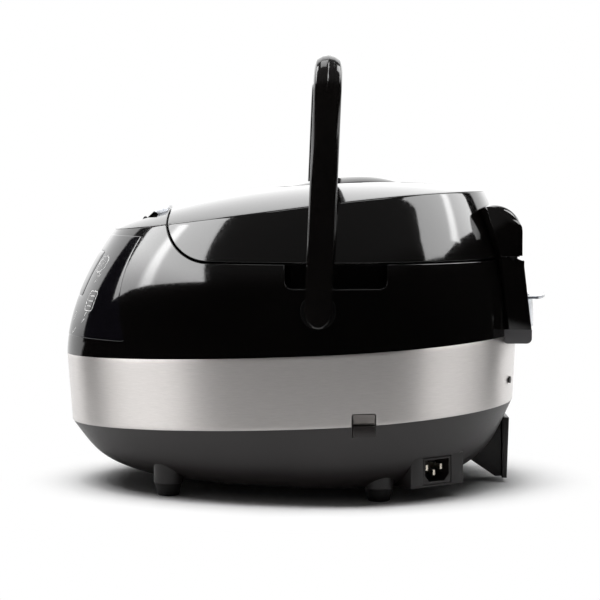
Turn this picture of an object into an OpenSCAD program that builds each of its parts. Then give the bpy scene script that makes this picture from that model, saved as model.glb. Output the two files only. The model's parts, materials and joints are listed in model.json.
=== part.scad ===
// Multicooker: egg-shaped body with a steel waistband, hinged lid, bail handle and inner pot.
// Lengths are millimetres and angles are degrees. +Z is up and the front faces -Y.
// The origin lies on the floor under the centre of the overall outline.

/* [Body plan] */
// Room in front of the pot's inner wall, up to the band's upper edge
pot_front_room = 96; // [88:1:106]
// Room behind the pot's inner wall, up to the band's upper edge
pot_rear_room = 33.5; // [32:0.5:38]
// Room beside the pot's inner wall, up to the band's upper edge
pot_side_room = 34; // [32:1:42]
// Distance of the widest section behind the origin
widest_y = 23; // [16:1:28]
// Roundness of the plan, where 2 is an ellipse
plan_power = 1.85; // [1.8:0.05:2.2]

/* [Steel band] */
// Height of the band, measured upright
band_h = 53; // [46:1:58]
// Height of the band's upper edge above the floor at the origin
band_top_z = 111.2; // [106:0.2:116]
// Slope of the band, low at the front
band_tilt = 2.8; // [0:0.1:4]
// Thickness of the steel sheet
band_t = 0.8; // [0.5:0.1:1.2]
// How far the band tapers in at its lower edge, at the front
band_taper_front = 4; // [1:0.5:6]
// How far the band tapers in at its lower edge, at the rear
band_taper_rear = 2.5; // [1:0.5:4]
// How far the band tapers in at its lower edge, at each side
band_taper_side = 1.5; // [0.5:0.5:3]

/* [Casing] */
// Wall of the upper housing
shell_t = 3; // [2.6:0.1:3.2]
// Wall of the base shell
base_t = 2.5; // [2:0.1:3]
// Wall of the lid cover
lid_t = 2.5; // [2:0.1:3]
// Overlap of the housing's skirt behind the band
skirt_h = 10; // [6:1:16]
// Inset of the crease round the lid from the band, at the front
crease_in_front = 38.5; // [34:0.5:44]
// Inset of the crease from the band, at the rear
crease_in_rear = 26; // [22:0.5:28]
// Inset of the crease from the band, at each side
crease_in_side = 35; // [30:1:37]
// Distance of the crease's widest section behind the origin
crease_y = 15; // [8:1:22]
// Height of the crease at the front
crease_front_z = 199; // [196:1:203]
// Rise of the crease from front to rear
crease_rise = 29.8; // [26:0.2:34]
// Height of the domed top above the crease
crown_h = 16.6; // [14:0.2:19]
// Inset of the flat floor from the band, at the front
floor_in_front = 61; // [54:1:68]
// Inset of the flat floor from the band, at the rear
floor_in_rear = 53; // [48:1:60]
// Inset of the flat floor from the band, at each side
floor_in_side = 38; // [32:1:42]

/* [Feet and leg] */
// Height of the rubber feet
foot_h = 9.5; // [8:0.5:12]
// Radius of a foot at its top
foot_top_r = 10; // [8:0.5:12]
// Radius of a foot where it stands
foot_low_r = 8; // [6:0.5:10]
// Distance of the front feet in front of the origin
foot_front_y = 104; // [90:1:112]
// Distance of the rear feet behind the origin
foot_rear_y = 54; // [44:1:62]
// Half distance between the front feet
foot_front_x = 76; // [66:1:82]
// Half distance between the rear feet
foot_rear_x = 103; // [94:1:108]
// Height of the rear leg's lower end above the floor
leg_z = 3.5; // [2:0.5:6]
// Width of the rear leg
leg_w = 30; // [22:1:40]
// Thickness of the rear leg's upright plate
leg_t = 5.2; // [4:0.1:7]

/* [Pot and heater] */
// Distance of the pot's axis behind the origin
pot_y = 20; // [18:0.5:21]
// Inner radius of the inner pot
pot_r = 112; // [106:1:120]
// Wall of the inner pot
pot_t = 1.5; // [1:0.1:2]
// Width of the pot's flange beyond its inner wall
pot_flange_w = 8.5; // [7:0.5:9]
// Height of the pot's underside above the floor
pot_z = 51; // [50:0.5:54]
// Corner radius of the pot's bottom
pot_corner_r = 26; // [16:1:30]
// Radius of the heating plate
plate_r = 82; // [74:1:84]
// Thickness of the heating plate
plate_t = 11; // [9:0.5:13]
// Radius of the temperature sensor's cap
sensor_r = 15; // [12:0.5:17]
// Travel of the temperature sensor
sensor_travel = 2.5; // [1.5:0.5:3.5]
// Gap between the pot's wall and the heat shield
shield_gap = 4; // [3:0.5:5]
// Thickness of the heat shield's sheet
shield_t = 1.2; // [0.8:0.1:1.6]

/* [Lid] */
// Height of the seam between lid and housing
seam_z = 177.4; // [176.6:0.2:178.4]
// Width of the seam
seam_gap = 1.4; // [1.2:0.1:2]
// Radius of the lid's lower front corner, seen from the side
lid_corner_r = 32; // [24:1:36]
// Reach of the lid's front edge past the pan over the pot
lid_lap = 0.4; // [0:0.1:2]
// Inset of the hinge axis from the body's rear
hinge_in = 7.5; // [7.5:0.5:9.5]
// Height of the hinge axis
hinge_z = 178.5; // [178:0.1:179]
// Radius of the hinge pin
hinge_pin_r = 2; // [1.5:0.25:2.25]
// Radius of the hinge knuckles
knuckle_r = 3.7; // [3.4:0.1:3.7]
// Half width of the hinge box
hinge_half_w = 58; // [54:1:62]
// Angle that the lid opens under the upright handle
lid_open = 24; // [10:1:24]

/* [Steam valve] */
// Distance of the valve cap's centre behind the origin
valve_y = 32; // [24:1:38]
// Length of the valve cap
valve_l = 96; // [80:1:104]
// Width of the valve cap
valve_w = 56; // [44:1:60]
// Height of the cap above the recess floor, in its middle
valve_h = 9; // [8:0.5:10]
// Depth of the oval recess round the cap, in its middle
recess_depth = 6.5; // [5.5:0.5:7]
// Margin of the recess round the cap, lengthwise
recess_margin = 17; // [12:1:20]
// Radius of the valve's cup in the lid
valve_cup_r = 19; // [15:0.5:22]

/* [Handle] */
// Distance of the handle's pivot behind the origin
pivot_y = 8.5; // [5:0.5:14]
// Height of the handle's pivot
pivot_z = 143.5; // [140:0.5:147]
// Width of the handle's arms, seen from the side
arm_w = 20; // [18:0.5:22]
// Thickness of the handle's arms
arm_t = 8; // [7:0.5:10]
// Height of the grip's outer edge above the pivot
handle_rise = 184.5; // [183:0.5:190]
// Thickness of the grip
grip_t = 12.5; // [11:0.5:13]
// Outer corner radius of the handle
handle_corner_r = 26; // [20:1:34]
// Angle that the handle leans to the rear as it stands
handle_lean = 2.4; // [0:0.2:4]
// Radius of the handle's stub shafts
stub_r = 6; // [5:0.25:7]

/* [Console] */
// Height of the control panel's lower edge
panel_low_z = 117; // [114.5:0.5:120]
// Height of the control panel's upper edge
panel_top_z = 195; // [190:0.5:196]
// Half width of the control panel at its lower edge
panel_low_half_w = 90; // [80:1:94]
// Half width of the control panel at its upper edge
panel_top_half_w = 62; // [54:1:64]
// Thickness of the control panel
panel_t = 1.6; // [1.4:0.1:1.8]
// Half width of the display window
display_half_w = 30; // [26:1:44]
// Height of the display window's lower edge
display_low_z = 148; // [142:1:152]
// Height of the display window's upper edge
display_top_z = 182; // [176:1:184]
// Width of the release button
button_w = 56; // [44:1:60]
// Length of the release button, front to rear
button_l = 20; // [17:0.5:21]
// Travel of the release button
button_travel = 3.2; // [2:0.1:3.2]
// Angle that the latch lever turns with the button
latch_turn = 16.5; // [10:0.5:16.5]

/* [Mains inlet] */
// Inset of the inlet's face centre from the body's side
inlet_in_side = 50; // [46:1:52]
// Inset of the inlet's face centre from the body's rear
inlet_in_rear = 67.5; // [64:0.5:70]
// Height of the inlet's centre
inlet_z = 21.5; // [21.5:0.25:22.5]
// Angle that the inlet's face is turned to the rear
inlet_turn = 38; // [34:1:42]
// Width of the socket's insulating body
inlet_w = 27.5; // [27:0.1:28]
// Height of the socket's insulating body
inlet_h = 20; // [19.6:0.1:20.4]
// Depth of the socket's cavity
inlet_depth = 16; // [14:0.5:17]
// Width of the socket's cavity
cavity_w = 24; // [23:0.1:24.4]
// Height of the socket's cavity
cavity_h = 16.5; // [15.5:0.1:16.8]

/* [Condensate cup] */
// Reach of the cup's grip lip behind the hinge box
cup_reach = 22.1; // [18:0.1:26]
// Half width of the cup
cup_half_w = 46; // [38:1:50]
// Wall of the cup
cup_t = 1.6; // [1.2:0.1:2]
// Height of the cup's lip
cup_lip_z = 148.4; // [146:0.2:150]
// Travel on which the cup is drawn out
cup_travel = 40; // [20:1:60]

/* [Fits] */
// Radial clearance of a turning or sliding fit
fit = 0.08; // [0.05:0.01:0.1]
// Gap between parts that lie in each other
gap = 0.35; // [0.3:0.05:0.4]

/* [Hidden] */

round_fn = 48;
small_fn = 24;
plan_steps = 40;
far = 400;
nudge = 0.01;

// ---- Outlines and surfaces ------------------------------------------------------------------

function lerp(a, b, t) = a + (b - a) * t;
function clamp01(v) = min(1, max(0, v));
function spow(v, e) = sign(v) * pow(abs(v), e);
function mean(pts) = [for (k = [0:2]) let (s = [for (p = pts) p[k]]) (s * [for (p = pts) 1]) / len(pts)];

// An outline is [middle, front length, rear length, half width].
function outline(front, rear, half_w, middle) = [middle, middle + front, rear - middle, half_w];
pot_flange_r = pot_r + pot_flange_w;
pan_room = 4.1;
pan_r = pot_flange_r + pan_room;
body_front = pot_r + pot_front_room - pot_y;
body_rear = pot_r + pot_rear_room + pot_y;
body_half_w = pot_r + pot_side_room;
lid_front = pan_r - pot_y + lid_lap;
hinge_y = body_rear - hinge_in;
pan_rear_y = pot_y + pan_r;
inlet_x = body_half_w - inlet_in_side;
inlet_y = body_rear - inlet_in_rear;
band_top_o = outline(body_front, body_rear, body_half_w, widest_y);
band_low_o = outline(body_front - band_taper_front, body_rear - band_taper_rear,
    body_half_w - band_taper_side, widest_y);
crease_o = outline(body_front - crease_in_front, body_rear - crease_in_rear,
    body_half_w - crease_in_side, crease_y);
floor_o = outline(body_front - floor_in_front, body_rear - floor_in_rear,
    body_half_w - floor_in_side, widest_y);

// The point of an outline at angle a, moved in by d
function egg(a, o, d = 0) = let (e = 2 / plan_power, reach = sin(a) < 0 ? o[1] : o[2])
    [(o[3] - d) * spow(cos(a), e), o[0] + (reach - d) * spow(sin(a), e)];
// The half width of an outline at a given y
function half_at(y, o) = let (q = clamp01(abs(y - o[0]) / (y < o[0] ? o[1] : o[2])))
    o[3] * pow(1 - pow(q, plan_power), 1 / plan_power);

tilt = tan(band_tilt);
function rim_z(y) = band_top_z + tilt * y;
function low_rim_z(y) = rim_z(y) - band_h;

crease_len = crease_o[1] + crease_o[2];
function crease_s(y) = clamp01((y - crease_o[0] + crease_o[1]) / crease_len);
function crease_z(y) = let (s = crease_s(y)) crease_front_z + crease_rise * (s + s * s * (1 - s));
// The crown is highest at 3/7 of the length, where this curve is 1.
crown_peak = pow(3 / 7, 0.75) * 4 / 7;
function crown_z(y) = let (s = crease_s(y)) crown_h * pow(s, 0.75) * (1 - s) / crown_peak;
function top_z(x, y) = let (q = clamp01(abs(x) / max(1, half_at(y, crease_o))))
    crease_z(y) + crown_z(y) * (1 - q * q);

// How strongly the housing's walls bulge, at the front, the rear and the sides
front_bulge = 1.75;
rear_bulge = 2;
side_bulge = 2.5;
function bulge(a) = lerp(sin(a) < 0 ? front_bulge : rear_bulge, side_bulge, abs(cos(a)));
// The housing's half width at a given y and height
function side_x(y, z) = let (s = clamp01((z - rim_z(y)) / (crease_z(y) - rim_z(y))))
    lerp(half_at(y, band_top_o), half_at(y, crease_o), pow(s, side_bulge));
// The housing's reach at the middle plane, to the front and to the rear
function front_y(z) = let (y = -body_front, s = clamp01((z - rim_z(y)) / (crease_front_z - rim_z(y))))
    -body_front + crease_in_front * pow(s, front_bulge);
function rear_y(z) = let (low = rim_z(body_rear), s = clamp01((z - low) / (crease_front_z + crease_rise - low)))
    body_rear - crease_in_rear * pow(s, rear_bulge);

angles = [for (k = [0:plan_steps - 1]) k * 360 / plan_steps];
function flat_ring(o, d, drop) = [for (a = angles) let (p = egg(a, o, d)) [p.x, p.y, rim_z(p.y) - drop]];
function carrier_ring(d, drop) = [for (a = angles)
    let (p = lerp(egg(a, band_top_o, d), egg(a, band_low_o, d), drop / band_h)) [p.x, p.y, rim_z(p.y) - drop]];
function wall_ring(s, d) = [for (a = angles)
    let (b = egg(a, band_top_o, d), c = egg(a, crease_o, d), p = lerp(b, c, pow(s, bulge(a))))
    [p.x, p.y, lerp(rim_z(b.y), crease_z(c.y) - d, s)]];
function crown_ring(r, d) = [for (a = angles)
    let (c = egg(a, crease_o, d), x = r * c.x, y = crease_y + r * (c.y - crease_y)) [x, y, top_z(x, y) - d]];
// The base bowl falls slowly at first and then turns in to its flat floor.
function bowl_curve(v) = 0.52 * v + 0.48 * pow(v, 5);
function bowl_ring(v, d, floor_z) = [for (a = angles)
    let (r = egg(a, band_low_o, band_t / 2 + d), f = egg(a, floor_o, d), p = lerp(r, f, bowl_curve(v)))
    [p.x, p.y, lerp(low_rim_z(r.y), floor_z, v)]];

// A closed skin over a stack of rings, lowest ring first
module skin(rings) {
    n = len(rings[0]);
    m = len(rings);
    points = concat([for (r = rings) each r], [mean(rings[0]), mean(rings[m - 1])]);
    walls = [for (i = [0:m - 2], j = [0:n - 1]) let (a = i * n + j, b = i * n + (j + 1) % n)
        each [[a, b + n, b], [a, a + n, b + n]]];
    ends = [for (j = [0:n - 1]) let (k = (j + 1) % n)
        each [[n * m, j, k], [n * m + 1, (m - 1) * n + k, (m - 1) * n + j]]];
    polyhedron(points, concat(walls, ends));
}

wall_steps = [0.22, 0.42, 0.6, 0.76, 0.89, 1];
crown_steps = [0.86, 0.66, 0.42, 0.16];
bowl_steps = [1, 0.94, 0.85, 0.7, 0.5, 0.25, 0];
carrier_in = band_t + gap;

// The whole upper body, grown by d
module upper_outer(d = 0) skin(concat(
    [carrier_ring(carrier_in - d, skirt_h), flat_ring(band_top_o, carrier_in - d, 0),
        flat_ring(band_top_o, -d, 0)],
    [for (s = wall_steps) wall_ring(s, -d)], [for (r = crown_steps) crown_ring(r, -d)]));
// The room inside the upper body's walls of thickness t
module upper_inner(t) skin(concat(
    [carrier_ring(carrier_in + t, skirt_h + t), flat_ring(band_top_o, carrier_in + t, 0)],
    [for (s = wall_steps) wall_ring(s, t)], [for (r = crown_steps) crown_ring(r, t)]));
// The lower part of the upper body with the band below it, for pieces that lie against them
module belt_outer(d) skin(concat([flat_ring(band_low_o, -d, band_h), flat_ring(band_top_o, -d, 0)],
    [for (s = [0.22, 0.42, 0.6]) wall_ring(s, -d)]));
// The base bowl with the carrier wall behind the band
module bowl_outer(d = 0) skin(concat(
    [for (v = bowl_steps) bowl_ring(v, -d, base_z - d)],
    [carrier_ring(carrier_in - d, band_h), carrier_ring(carrier_in - d, skirt_h)]));
module bowl_inner(t) skin(concat(
    [for (v = bowl_steps) bowl_ring(v, t, base_z + t)],
    [carrier_ring(carrier_in + t, band_h), carrier_ring(carrier_in + t, skirt_h - t)]));

// ---- Small helpers ----------------------------------------------------------------------------

// Extrudes a side view, drawn as (y, z), across the width w
module across(w) rotate([90, 0, 90]) linear_extrude(w, center = true) children();
module on_both_sides() {
    children();
    mirror([1, 0, 0]) children();
}
module rod_x(r, w, fn = round_fn) rotate([0, 90, 0]) cylinder(r = r, h = w, center = true, $fn = fn);
module ring(r_out, r_in, h, fn = round_fn) difference() {
    cylinder(r = r_out, h = h, $fn = fn);
    translate([0, 0, -1]) cylinder(r = r_in, h = h + 2, $fn = fn);
}
module rounded(size, r) {
    square([size.x - 2 * r, size.y], center = true);
    square([size.x, size.y - 2 * r], center = true);
    for (x = [-1, 1], y = [-1, 1])
        translate([x * (size.x / 2 - r), y * (size.y / 2 - r)]) circle(r, $fn = small_fn);
}
// A flat oval outline with the same roundness all round
module oval(size, power = 2.6) polygon([for (k = [0:35]) let (a = k * 10)
    [size.x / 2 * spow(cos(a), 2 / power), size.y / 2 * spow(sin(a), 2 / power)]]);
// A compression spring standing on z = 0
module coil(r, wire_r, turns, h) {
    sides = 6;
    steps = 12 * turns;
    rise = h - 2 * wire_r;
    rings = [for (i = [0:steps]) let (a = 30 * i, z = wire_r + rise * i / steps)
        [for (k = [0:sides - 1]) let (b = -k * 360 / sides, q = r + wire_r * cos(b))
            [q * cos(a), q * sin(a), z + wire_r * sin(b)]]];
    n = sides;
    m = len(rings);
    polyhedron([for (g = rings) each g], concat(
        [for (i = [0:m - 2], j = [0:n - 1]) let (a = i * n + j, b = i * n + (j + 1) % n)
            each [[a, b + n, b], [a, a + n, b + n]]],
        [[for (j = [0:n - 1]) j], [for (j = [n - 1:-1:0]) (m - 1) * n + j]]));
}
// A countersunk screw whose head lies on z = 0 and whose shank points down
module screw(head_r, shank_r, l) {
    translate([0, 0, -1.6]) cylinder(r = head_r, h = 1.6, $fn = small_fn);
    translate([0, 0, -l]) cylinder(r = shank_r, h = l - 1, $fn = small_fn);
}

// ---- Levels and places ------------------------------------------------------------------------

base_z = foot_h;
floor_z = base_z + base_t;
deck_z = seam_z - seam_gap / 2;
deck_low_z = deck_z - shell_t;
lid_z = seam_z + seam_gap / 2;
split = seam_gap / 2;

ring_t = 2;
ring_z = deck_low_z - ring_t;
flange_t = 1.5;
flange_room = 2;
rim_hole_r = pot_flange_r + flange_room;
ring_lap = 4.5;
ring_out_r = rim_hole_r + ring_lap;
shield_in_r = pot_r + pot_t + shield_gap;
shield_out_r = shield_in_r + shield_t;
spacer_h = 3.8;
plate_low_z = pot_z - plate_t;
shield_z = plate_low_z - spacer_h - shield_t;

liner_t = 2.5;
recess_r = pan_r - split - liner_t;
ceiling_z = lid_z + 8;

box_rear_y = body_rear + 0.4;
hinge_clear = 0.6;
knuckle_w = 12;
lid_knuckle_x = 30;
box_knuckle_x = lid_knuckle_x + knuckle_w + 1;
hinge_cut_half_w = box_knuckle_x + knuckle_w / 2 + 1.5;
box_top_z = hinge_z + 0.2;
box_low_z = rim_z(body_rear) + 4.4;

arm_in_x = body_half_w + 1;
arm_out_x = arm_in_x + arm_t;

// The room that the lid takes, grown by g, with a round pan over the pot
module lid_room(g) {
    across(far) {
        translate([-lid_front + lid_corner_r, seam_z + lid_corner_r]) circle(lid_corner_r + g, $fn = 96);
        translate([-lid_front - g, seam_z + lid_corner_r]) square(far);
        translate([-lid_front + lid_corner_r, seam_z - g]) square(far);
    }
    translate([0, pot_y, seam_z - g]) cylinder(r = pan_r + g, h = far, $fn = 96);
}

// ---- Base -------------------------------------------------------------------------------------

foot_places = [for (x = [-1, 1]) each [[x * foot_front_x, -foot_front_y], [x * foot_rear_x, foot_rear_y]]];
foot_boss_h = 16;
post_r = 5;
post_ring_r = 96;
post_places = [for (a = [55, 125, 235, 305]) [post_ring_r * cos(a), pot_y + post_ring_r * sin(a)]];
screw_head_r = 3.4;
screw_shank_r = 1.5;
head_room_h = 5;

// Places children at the inlet's face, with +X along the face and +Y out of it
module at_inlet() translate([inlet_x, inlet_y, inlet_z]) rotate([0, 0, inlet_turn - 90]) children();
inlet_face_w = 52;
inlet_face_h = inlet_h + 3.5;
inlet_back = 30;
inlet_flange = 3;
brow_h = 3.5;
brow_slope = 5;

module inlet_brow() at_inlet() rotate([90, 0, 90]) linear_extrude(inlet_face_w, center = true)
    polygon([[-inlet_back, 0], [0, 0], [0, inlet_face_h / 2], [-brow_slope, inlet_face_h / 2 + brow_h],
        [-inlet_back, inlet_face_h / 2 + brow_h]]);
module inlet_block() at_inlet() translate([-inlet_face_w / 2, -inlet_back, -inlet_face_h / 2])
    cube([inlet_face_w, inlet_back, inlet_face_h]);
module inlet_room() at_inlet() {
    translate([-inlet_w / 2 - gap, -inlet_depth - inlet_flange, -inlet_h / 2 - gap])
        cube([inlet_w + 2 * gap, far, inlet_h + 2 * gap]);
    translate([-inlet_w / 2 + inlet_flange, -inlet_back - 1, -inlet_h / 2 + inlet_flange])
        cube([inlet_w - 2 * inlet_flange, inlet_back, inlet_h - 2 * inlet_flange]);
}

// The holder socket lies under the band's lower edge, on the right side.
socket_y = 41.6;
socket_w = 17;
socket_h = 8.5;
socket_t = 1.4;
notch_h = 9;
socket_depth = 6;
socket_top_z = low_rim_z(socket_y);
socket_x = half_at(socket_y, band_low_o);
module socket_room(g) translate([socket_x - socket_depth - g, socket_y - socket_w / 2 - g,
    socket_top_z - socket_h - g]) cube([socket_depth + 10, socket_w + 2 * g, socket_h + notch_h + 2 * g]);

board_z = 30;
board_in = 64;
board_y = board_in - body_front;
board_size = [90, 46, 1.6];
board_hole = [38, 17];
board_posts = [for (x = [-1, 1], y = [-1, 1]) [x * board_hole.x, board_y + y * board_hole.y]];

module base_shell() color("#3a3737") difference() {
    union() {
        difference() {
            union() {
                bowl_outer();
                inlet_brow();
                for (p = foot_places) translate([p.x, p.y, base_z])
                    cylinder(r = foot_top_r + 1, h = foot_boss_h, $fn = round_fn);
            }
            bowl_inner(base_t);
        }
        inlet_block();
        for (p = post_places) translate([p.x, p.y, base_z])
            cylinder(r = post_r, h = shield_z - base_z, $fn = small_fn);
        intersection() {
            bowl_outer();
            union() {
                for (p = board_posts) translate([p.x, p.y, base_z])
                    cylinder(r = post_r - 1, h = board_z - base_z, $fn = small_fn);
                socket_room(base_t);
            }
        }
    }
    inlet_room();
    socket_room(0);
    for (p = post_places) translate([p.x, p.y, base_z - 1]) {
        cylinder(r = screw_head_r + gap, h = head_room_h + 1, $fn = small_fn);
        cylinder(r = screw_shank_r + fit, h = far, $fn = small_fn);
    }
}

module rubber_feet() color("#201f1f") for (p = foot_places) translate([p.x, p.y, 0])
    cylinder(r1 = foot_low_r, r2 = foot_top_r, h = foot_h, $fn = round_fn);

module rear_leg() color("#3a3737") {
    top_y = body_rear - band_taper_rear - 3.5;
    top_z = low_rim_z(body_rear) - 15;
    inner_y = top_y - 30;
    difference() {
        union() {
            across(leg_w) polygon([[top_y - leg_t, leg_z], [top_y - 1.5, leg_z], [top_y, top_z],
                [top_y - leg_t, top_z]]);
            across(leg_w - 14) polygon([[top_y - leg_t - 5, leg_z + 0.5], [top_y - 2, leg_z + 0.5],
                [top_y - 2, top_z], [inner_y, leg_z + 14]]);
        }
        bowl_outer(gap);
        translate([0, 0, foot_h + far / 2 - nudge]) translate([-far / 2, inner_y - far, -far / 2])
            cube([far, far, far]);
    }
}

module power_inlet() color("#1b1a1a") at_inlet() difference() {
    translate([-inlet_w / 2, -inlet_depth - inlet_flange, -inlet_h / 2])
        cube([inlet_w, inlet_depth + inlet_flange - 0.5, inlet_h]);
    rotate([90, 0, 0]) translate([0, 0, -1]) linear_extrude(inlet_depth + 1) polygon([
        [-cavity_w / 2, cavity_h / 2], [-cavity_w / 2, -cavity_h / 2 + 5], [-cavity_w / 2 + 5, -cavity_h / 2],
        [cavity_w / 2 - 5, -cavity_h / 2], [cavity_w / 2, -cavity_h / 2 + 5], [cavity_w / 2, cavity_h / 2]]);
    for (p = pin_places) translate([p.x - pin_w / 2 - fit, -inlet_back, p.y - pin_h / 2 - fit])
        cube([pin_w + 2 * fit, inlet_back, pin_h + 2 * fit]);
}
pin_w = 2;
pin_h = 4;
pin_places = [[-7, 2], [7, 2], [0, -2]];
module inlet_pins() color("silver") at_inlet() for (p = pin_places)
    translate([p.x - pin_w / 2, -inlet_depth - inlet_flange - 6, p.y - pin_h / 2])
        cube([pin_w, inlet_depth + inlet_flange + 2, pin_h]);

module holder_socket() color("#2b2929") translate([socket_x - socket_depth, socket_y, socket_top_z]) {
    wide = socket_w - 2 * gap;
    difference() {
        translate([0.3, -wide / 2, -socket_h + 0.3]) cube([socket_depth - 0.8, wide, socket_h - 0.3]);
        translate([0.3 + socket_t, -wide / 2 + socket_t, -socket_h + 0.3 + socket_t])
            cube([socket_depth - 0.8 - 2 * socket_t, wide - 2 * socket_t, socket_h]);
    }
    rotate([90, 0, 0]) linear_extrude(wide, center = true)
        polygon([[0.3, 0], [0.3 + socket_t, 0], [socket_depth - 0.5, notch_h - 0.3], [0.3, notch_h - 0.3]]);
}

// ---- Steel band -------------------------------------------------------------------------------

band_screw_a = 72;
band_screw_drop = 0.66;
function on_band(a, d) = lerp(egg(a, band_top_o), egg(a, band_low_o), d);
band_screw_at = on_band(band_screw_a, band_screw_drop);
band_screw_run = on_band(band_screw_a + 1, band_screw_drop) - on_band(band_screw_a - 1, band_screw_drop);
module at_band_screw()
    translate([band_screw_at.x, band_screw_at.y, rim_z(band_screw_at.y) - band_screw_drop * band_h])
    rotate([0, 0, atan2(band_screw_run.y, band_screw_run.x) - 90]) rotate([0, 90, 0]) children();

module steel_band() color("#9c9691") difference() {
    skin([flat_ring(band_low_o, 0, band_h), flat_ring(band_top_o, 0, 0)]);
    skin([for (h = [band_h + 5, -5]) carrier_ring(band_t, h)]);
    socket_room(gap);
}
module band_screws() color("#3b3836") on_both_sides() at_band_screw()
    translate([0, 0, 0.1]) cylinder(r = 2.6, h = 1.3, $fn = small_fn);

// ---- Upper housing ----------------------------------------------------------------------------

recess_front_y = pivot_y - 24.5;
recess_rear_y = pivot_y + 50.5;
recess_low_z = seam_z - 18.4;
recess_in_x = body_half_w - 12.5;
recess_wall = 2;
recess_corner_r = 6;
// The hand recess below the seam, grown by g
module hand_recess(g) translate([recess_in_x - g + far / 2, 0, 0]) across(far) {
    translate([recess_front_y - g, recess_low_z + recess_corner_r])
        square([recess_rear_y - recess_front_y + 2 * g, 30]);
    translate([recess_front_y + recess_corner_r, recess_low_z - g])
        square([recess_rear_y - recess_front_y - 2 * recess_corner_r, 30]);
    for (y = [recess_front_y + recess_corner_r, recess_rear_y - recess_corner_r])
        translate([y, recess_low_z + recess_corner_r]) circle(recess_corner_r + g, $fn = round_fn);
}

bush_r = 9;
bush_flange_r = 13;
bush_flange_t = 1.3;
bush_in_x = body_half_w - 9.5;
pad_x = arm_in_x - gap - bush_flange_t;

button_y = -lid_front - 1.3 - button_l / 2;
button_low_z = crease_front_z + 6.5;
notch_z = button_low_z - button_travel - 0.8;
stem_w = 8;
stem_t = 2.4;
stem_y = button_y - button_l / 2 + stem_t / 2 + 0.1;
latch_arm = 11;
latch_y = stem_y + latch_arm;
latch_nose = -lid_front - 0.3 - latch_y;
latch_z = seam_z + 9.6;
latch_pin_r = 1.5;
latch_w = 12;
latch_slot_w = latch_w + 2;
rib_t = 2.5;
spring_x = 19;
spring_y = -lid_front - 10;
spring_z = button_low_z - 14;
spring_seat_t = 2;

// The front view of the control panel, drawn as (x, z) and grown by g
module panel_outline(g) polygon([[-panel_low_half_w - g, panel_low_z - g], [panel_low_half_w + g, panel_low_z - g],
    [panel_top_half_w + g, panel_top_z + g], [-panel_top_half_w - g, panel_top_z + g]]);
module from_front() translate([0, -lid_front - 7, 0]) rotate([90, 0, 0]) linear_extrude(far) children();
display_z = (display_low_z + display_top_z) / 2;
display_h = display_top_z - display_low_z;
module display_outline(g) translate([0, display_z])
    square([2 * display_half_w + 2 * g, display_h + 2 * g], center = true);
display_proud = 0.6;

panel_slope = atan((front_y(panel_top_z) - front_y(panel_low_z)) / (panel_top_z - panel_low_z));
control_size = [84, 50];
control_t = 1.6;
control_depth = 21.4;
// Places children on the control board's back, with +Z towards the front panel
module at_control_board() translate([0, front_y(display_z - 6) + control_depth, display_z - 6])
    rotate([90 - panel_slope, 0, 0]) children();
control_holes = [for (x = [-1, 1], y = [-1, 1]) [x * (control_size.x / 2 - 5), y * (control_size.y / 2 - 5)]];

hinge_slot_y = hinge_y - knuckle_r - 4.5;

module upper_housing() color("#0b0a0b") difference() {
    union() {
        difference() {
            difference() {
                upper_outer();
                lid_room(split);
            }
            difference() {
                upper_inner(shell_t);
                lid_room(split + shell_t);
            }
        }
        intersection() {
            upper_outer();
            union() {
                on_both_sides() intersection() {
                    hand_recess(recess_wall);
                    translate([0, 0, deck_z - far]) cube(far);
                }
                at_control_board() for (p = control_holes) translate([p.x, p.y, control_t])
                    cylinder(r = 3.5, h = 30, $fn = small_fn);
            }
        }
        on_both_sides() {
            translate([(bush_in_x + pad_x) / 2, pivot_y, pivot_z]) rod_x(bush_flange_r, pad_x - bush_in_x - 0.2);
            translate([latch_slot_w / 2, -lid_front - 18, latch_z - 6]) cube([rib_t, 16, 12]);
            translate([spring_x - 5, -lid_front - 16, spring_z - spring_seat_t]) cube([10, 15, spring_seat_t]);
        }
    }
    translate([0, pot_y, deck_low_z - 5]) cylinder(r = rim_hole_r, h = 10, $fn = 96);
    on_both_sides() {
        hand_recess(0);
        translate([arm_in_x, pivot_y, pivot_z]) rod_x(bush_r + fit, 40);
    }
    difference() {
        from_front() panel_outline(gap);
        upper_outer(-panel_t - 0.2);
    }
    from_front() display_outline(-2);
    translate([0, button_y, notch_z]) linear_extrude(far)
        rounded([button_w + 2 * gap, button_l + 2 * gap], 4);
    translate([-button_w / 2 - gap, button_y, notch_z]) cube([button_w + 2 * gap, button_l, far]);
    translate([-latch_slot_w / 2, -lid_front - 6, latch_z + 4]) cube([latch_slot_w, 12, notch_z - latch_z]);
    translate([0, latch_y, latch_z]) rod_x(latch_pin_r + fit, 2 * (latch_slot_w + rib_t), small_fn);
    translate([-hinge_cut_half_w, hinge_slot_y, hinge_z - 14]) cube([2 * hinge_cut_half_w, 30, 20]);
}

module control_panel() color("#131018") difference() {
    intersection() {
        upper_outer();
        from_front() panel_outline(0);
    }
    upper_outer(-panel_t);
    from_front() display_outline(0);
}
module display_window() color("#0a0a10") difference() {
    intersection() {
        upper_outer(display_proud);
        from_front() display_outline(-gap);
    }
    upper_outer(-panel_t - 0.2 + fit);
}

module pot_rim_ring() color("#8c8a88") translate([0, pot_y, ring_z])
    ring(ring_out_r, shield_in_r, ring_t, 96);

// ---- Console: release button and latch ----------------------------------------------------------

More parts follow.
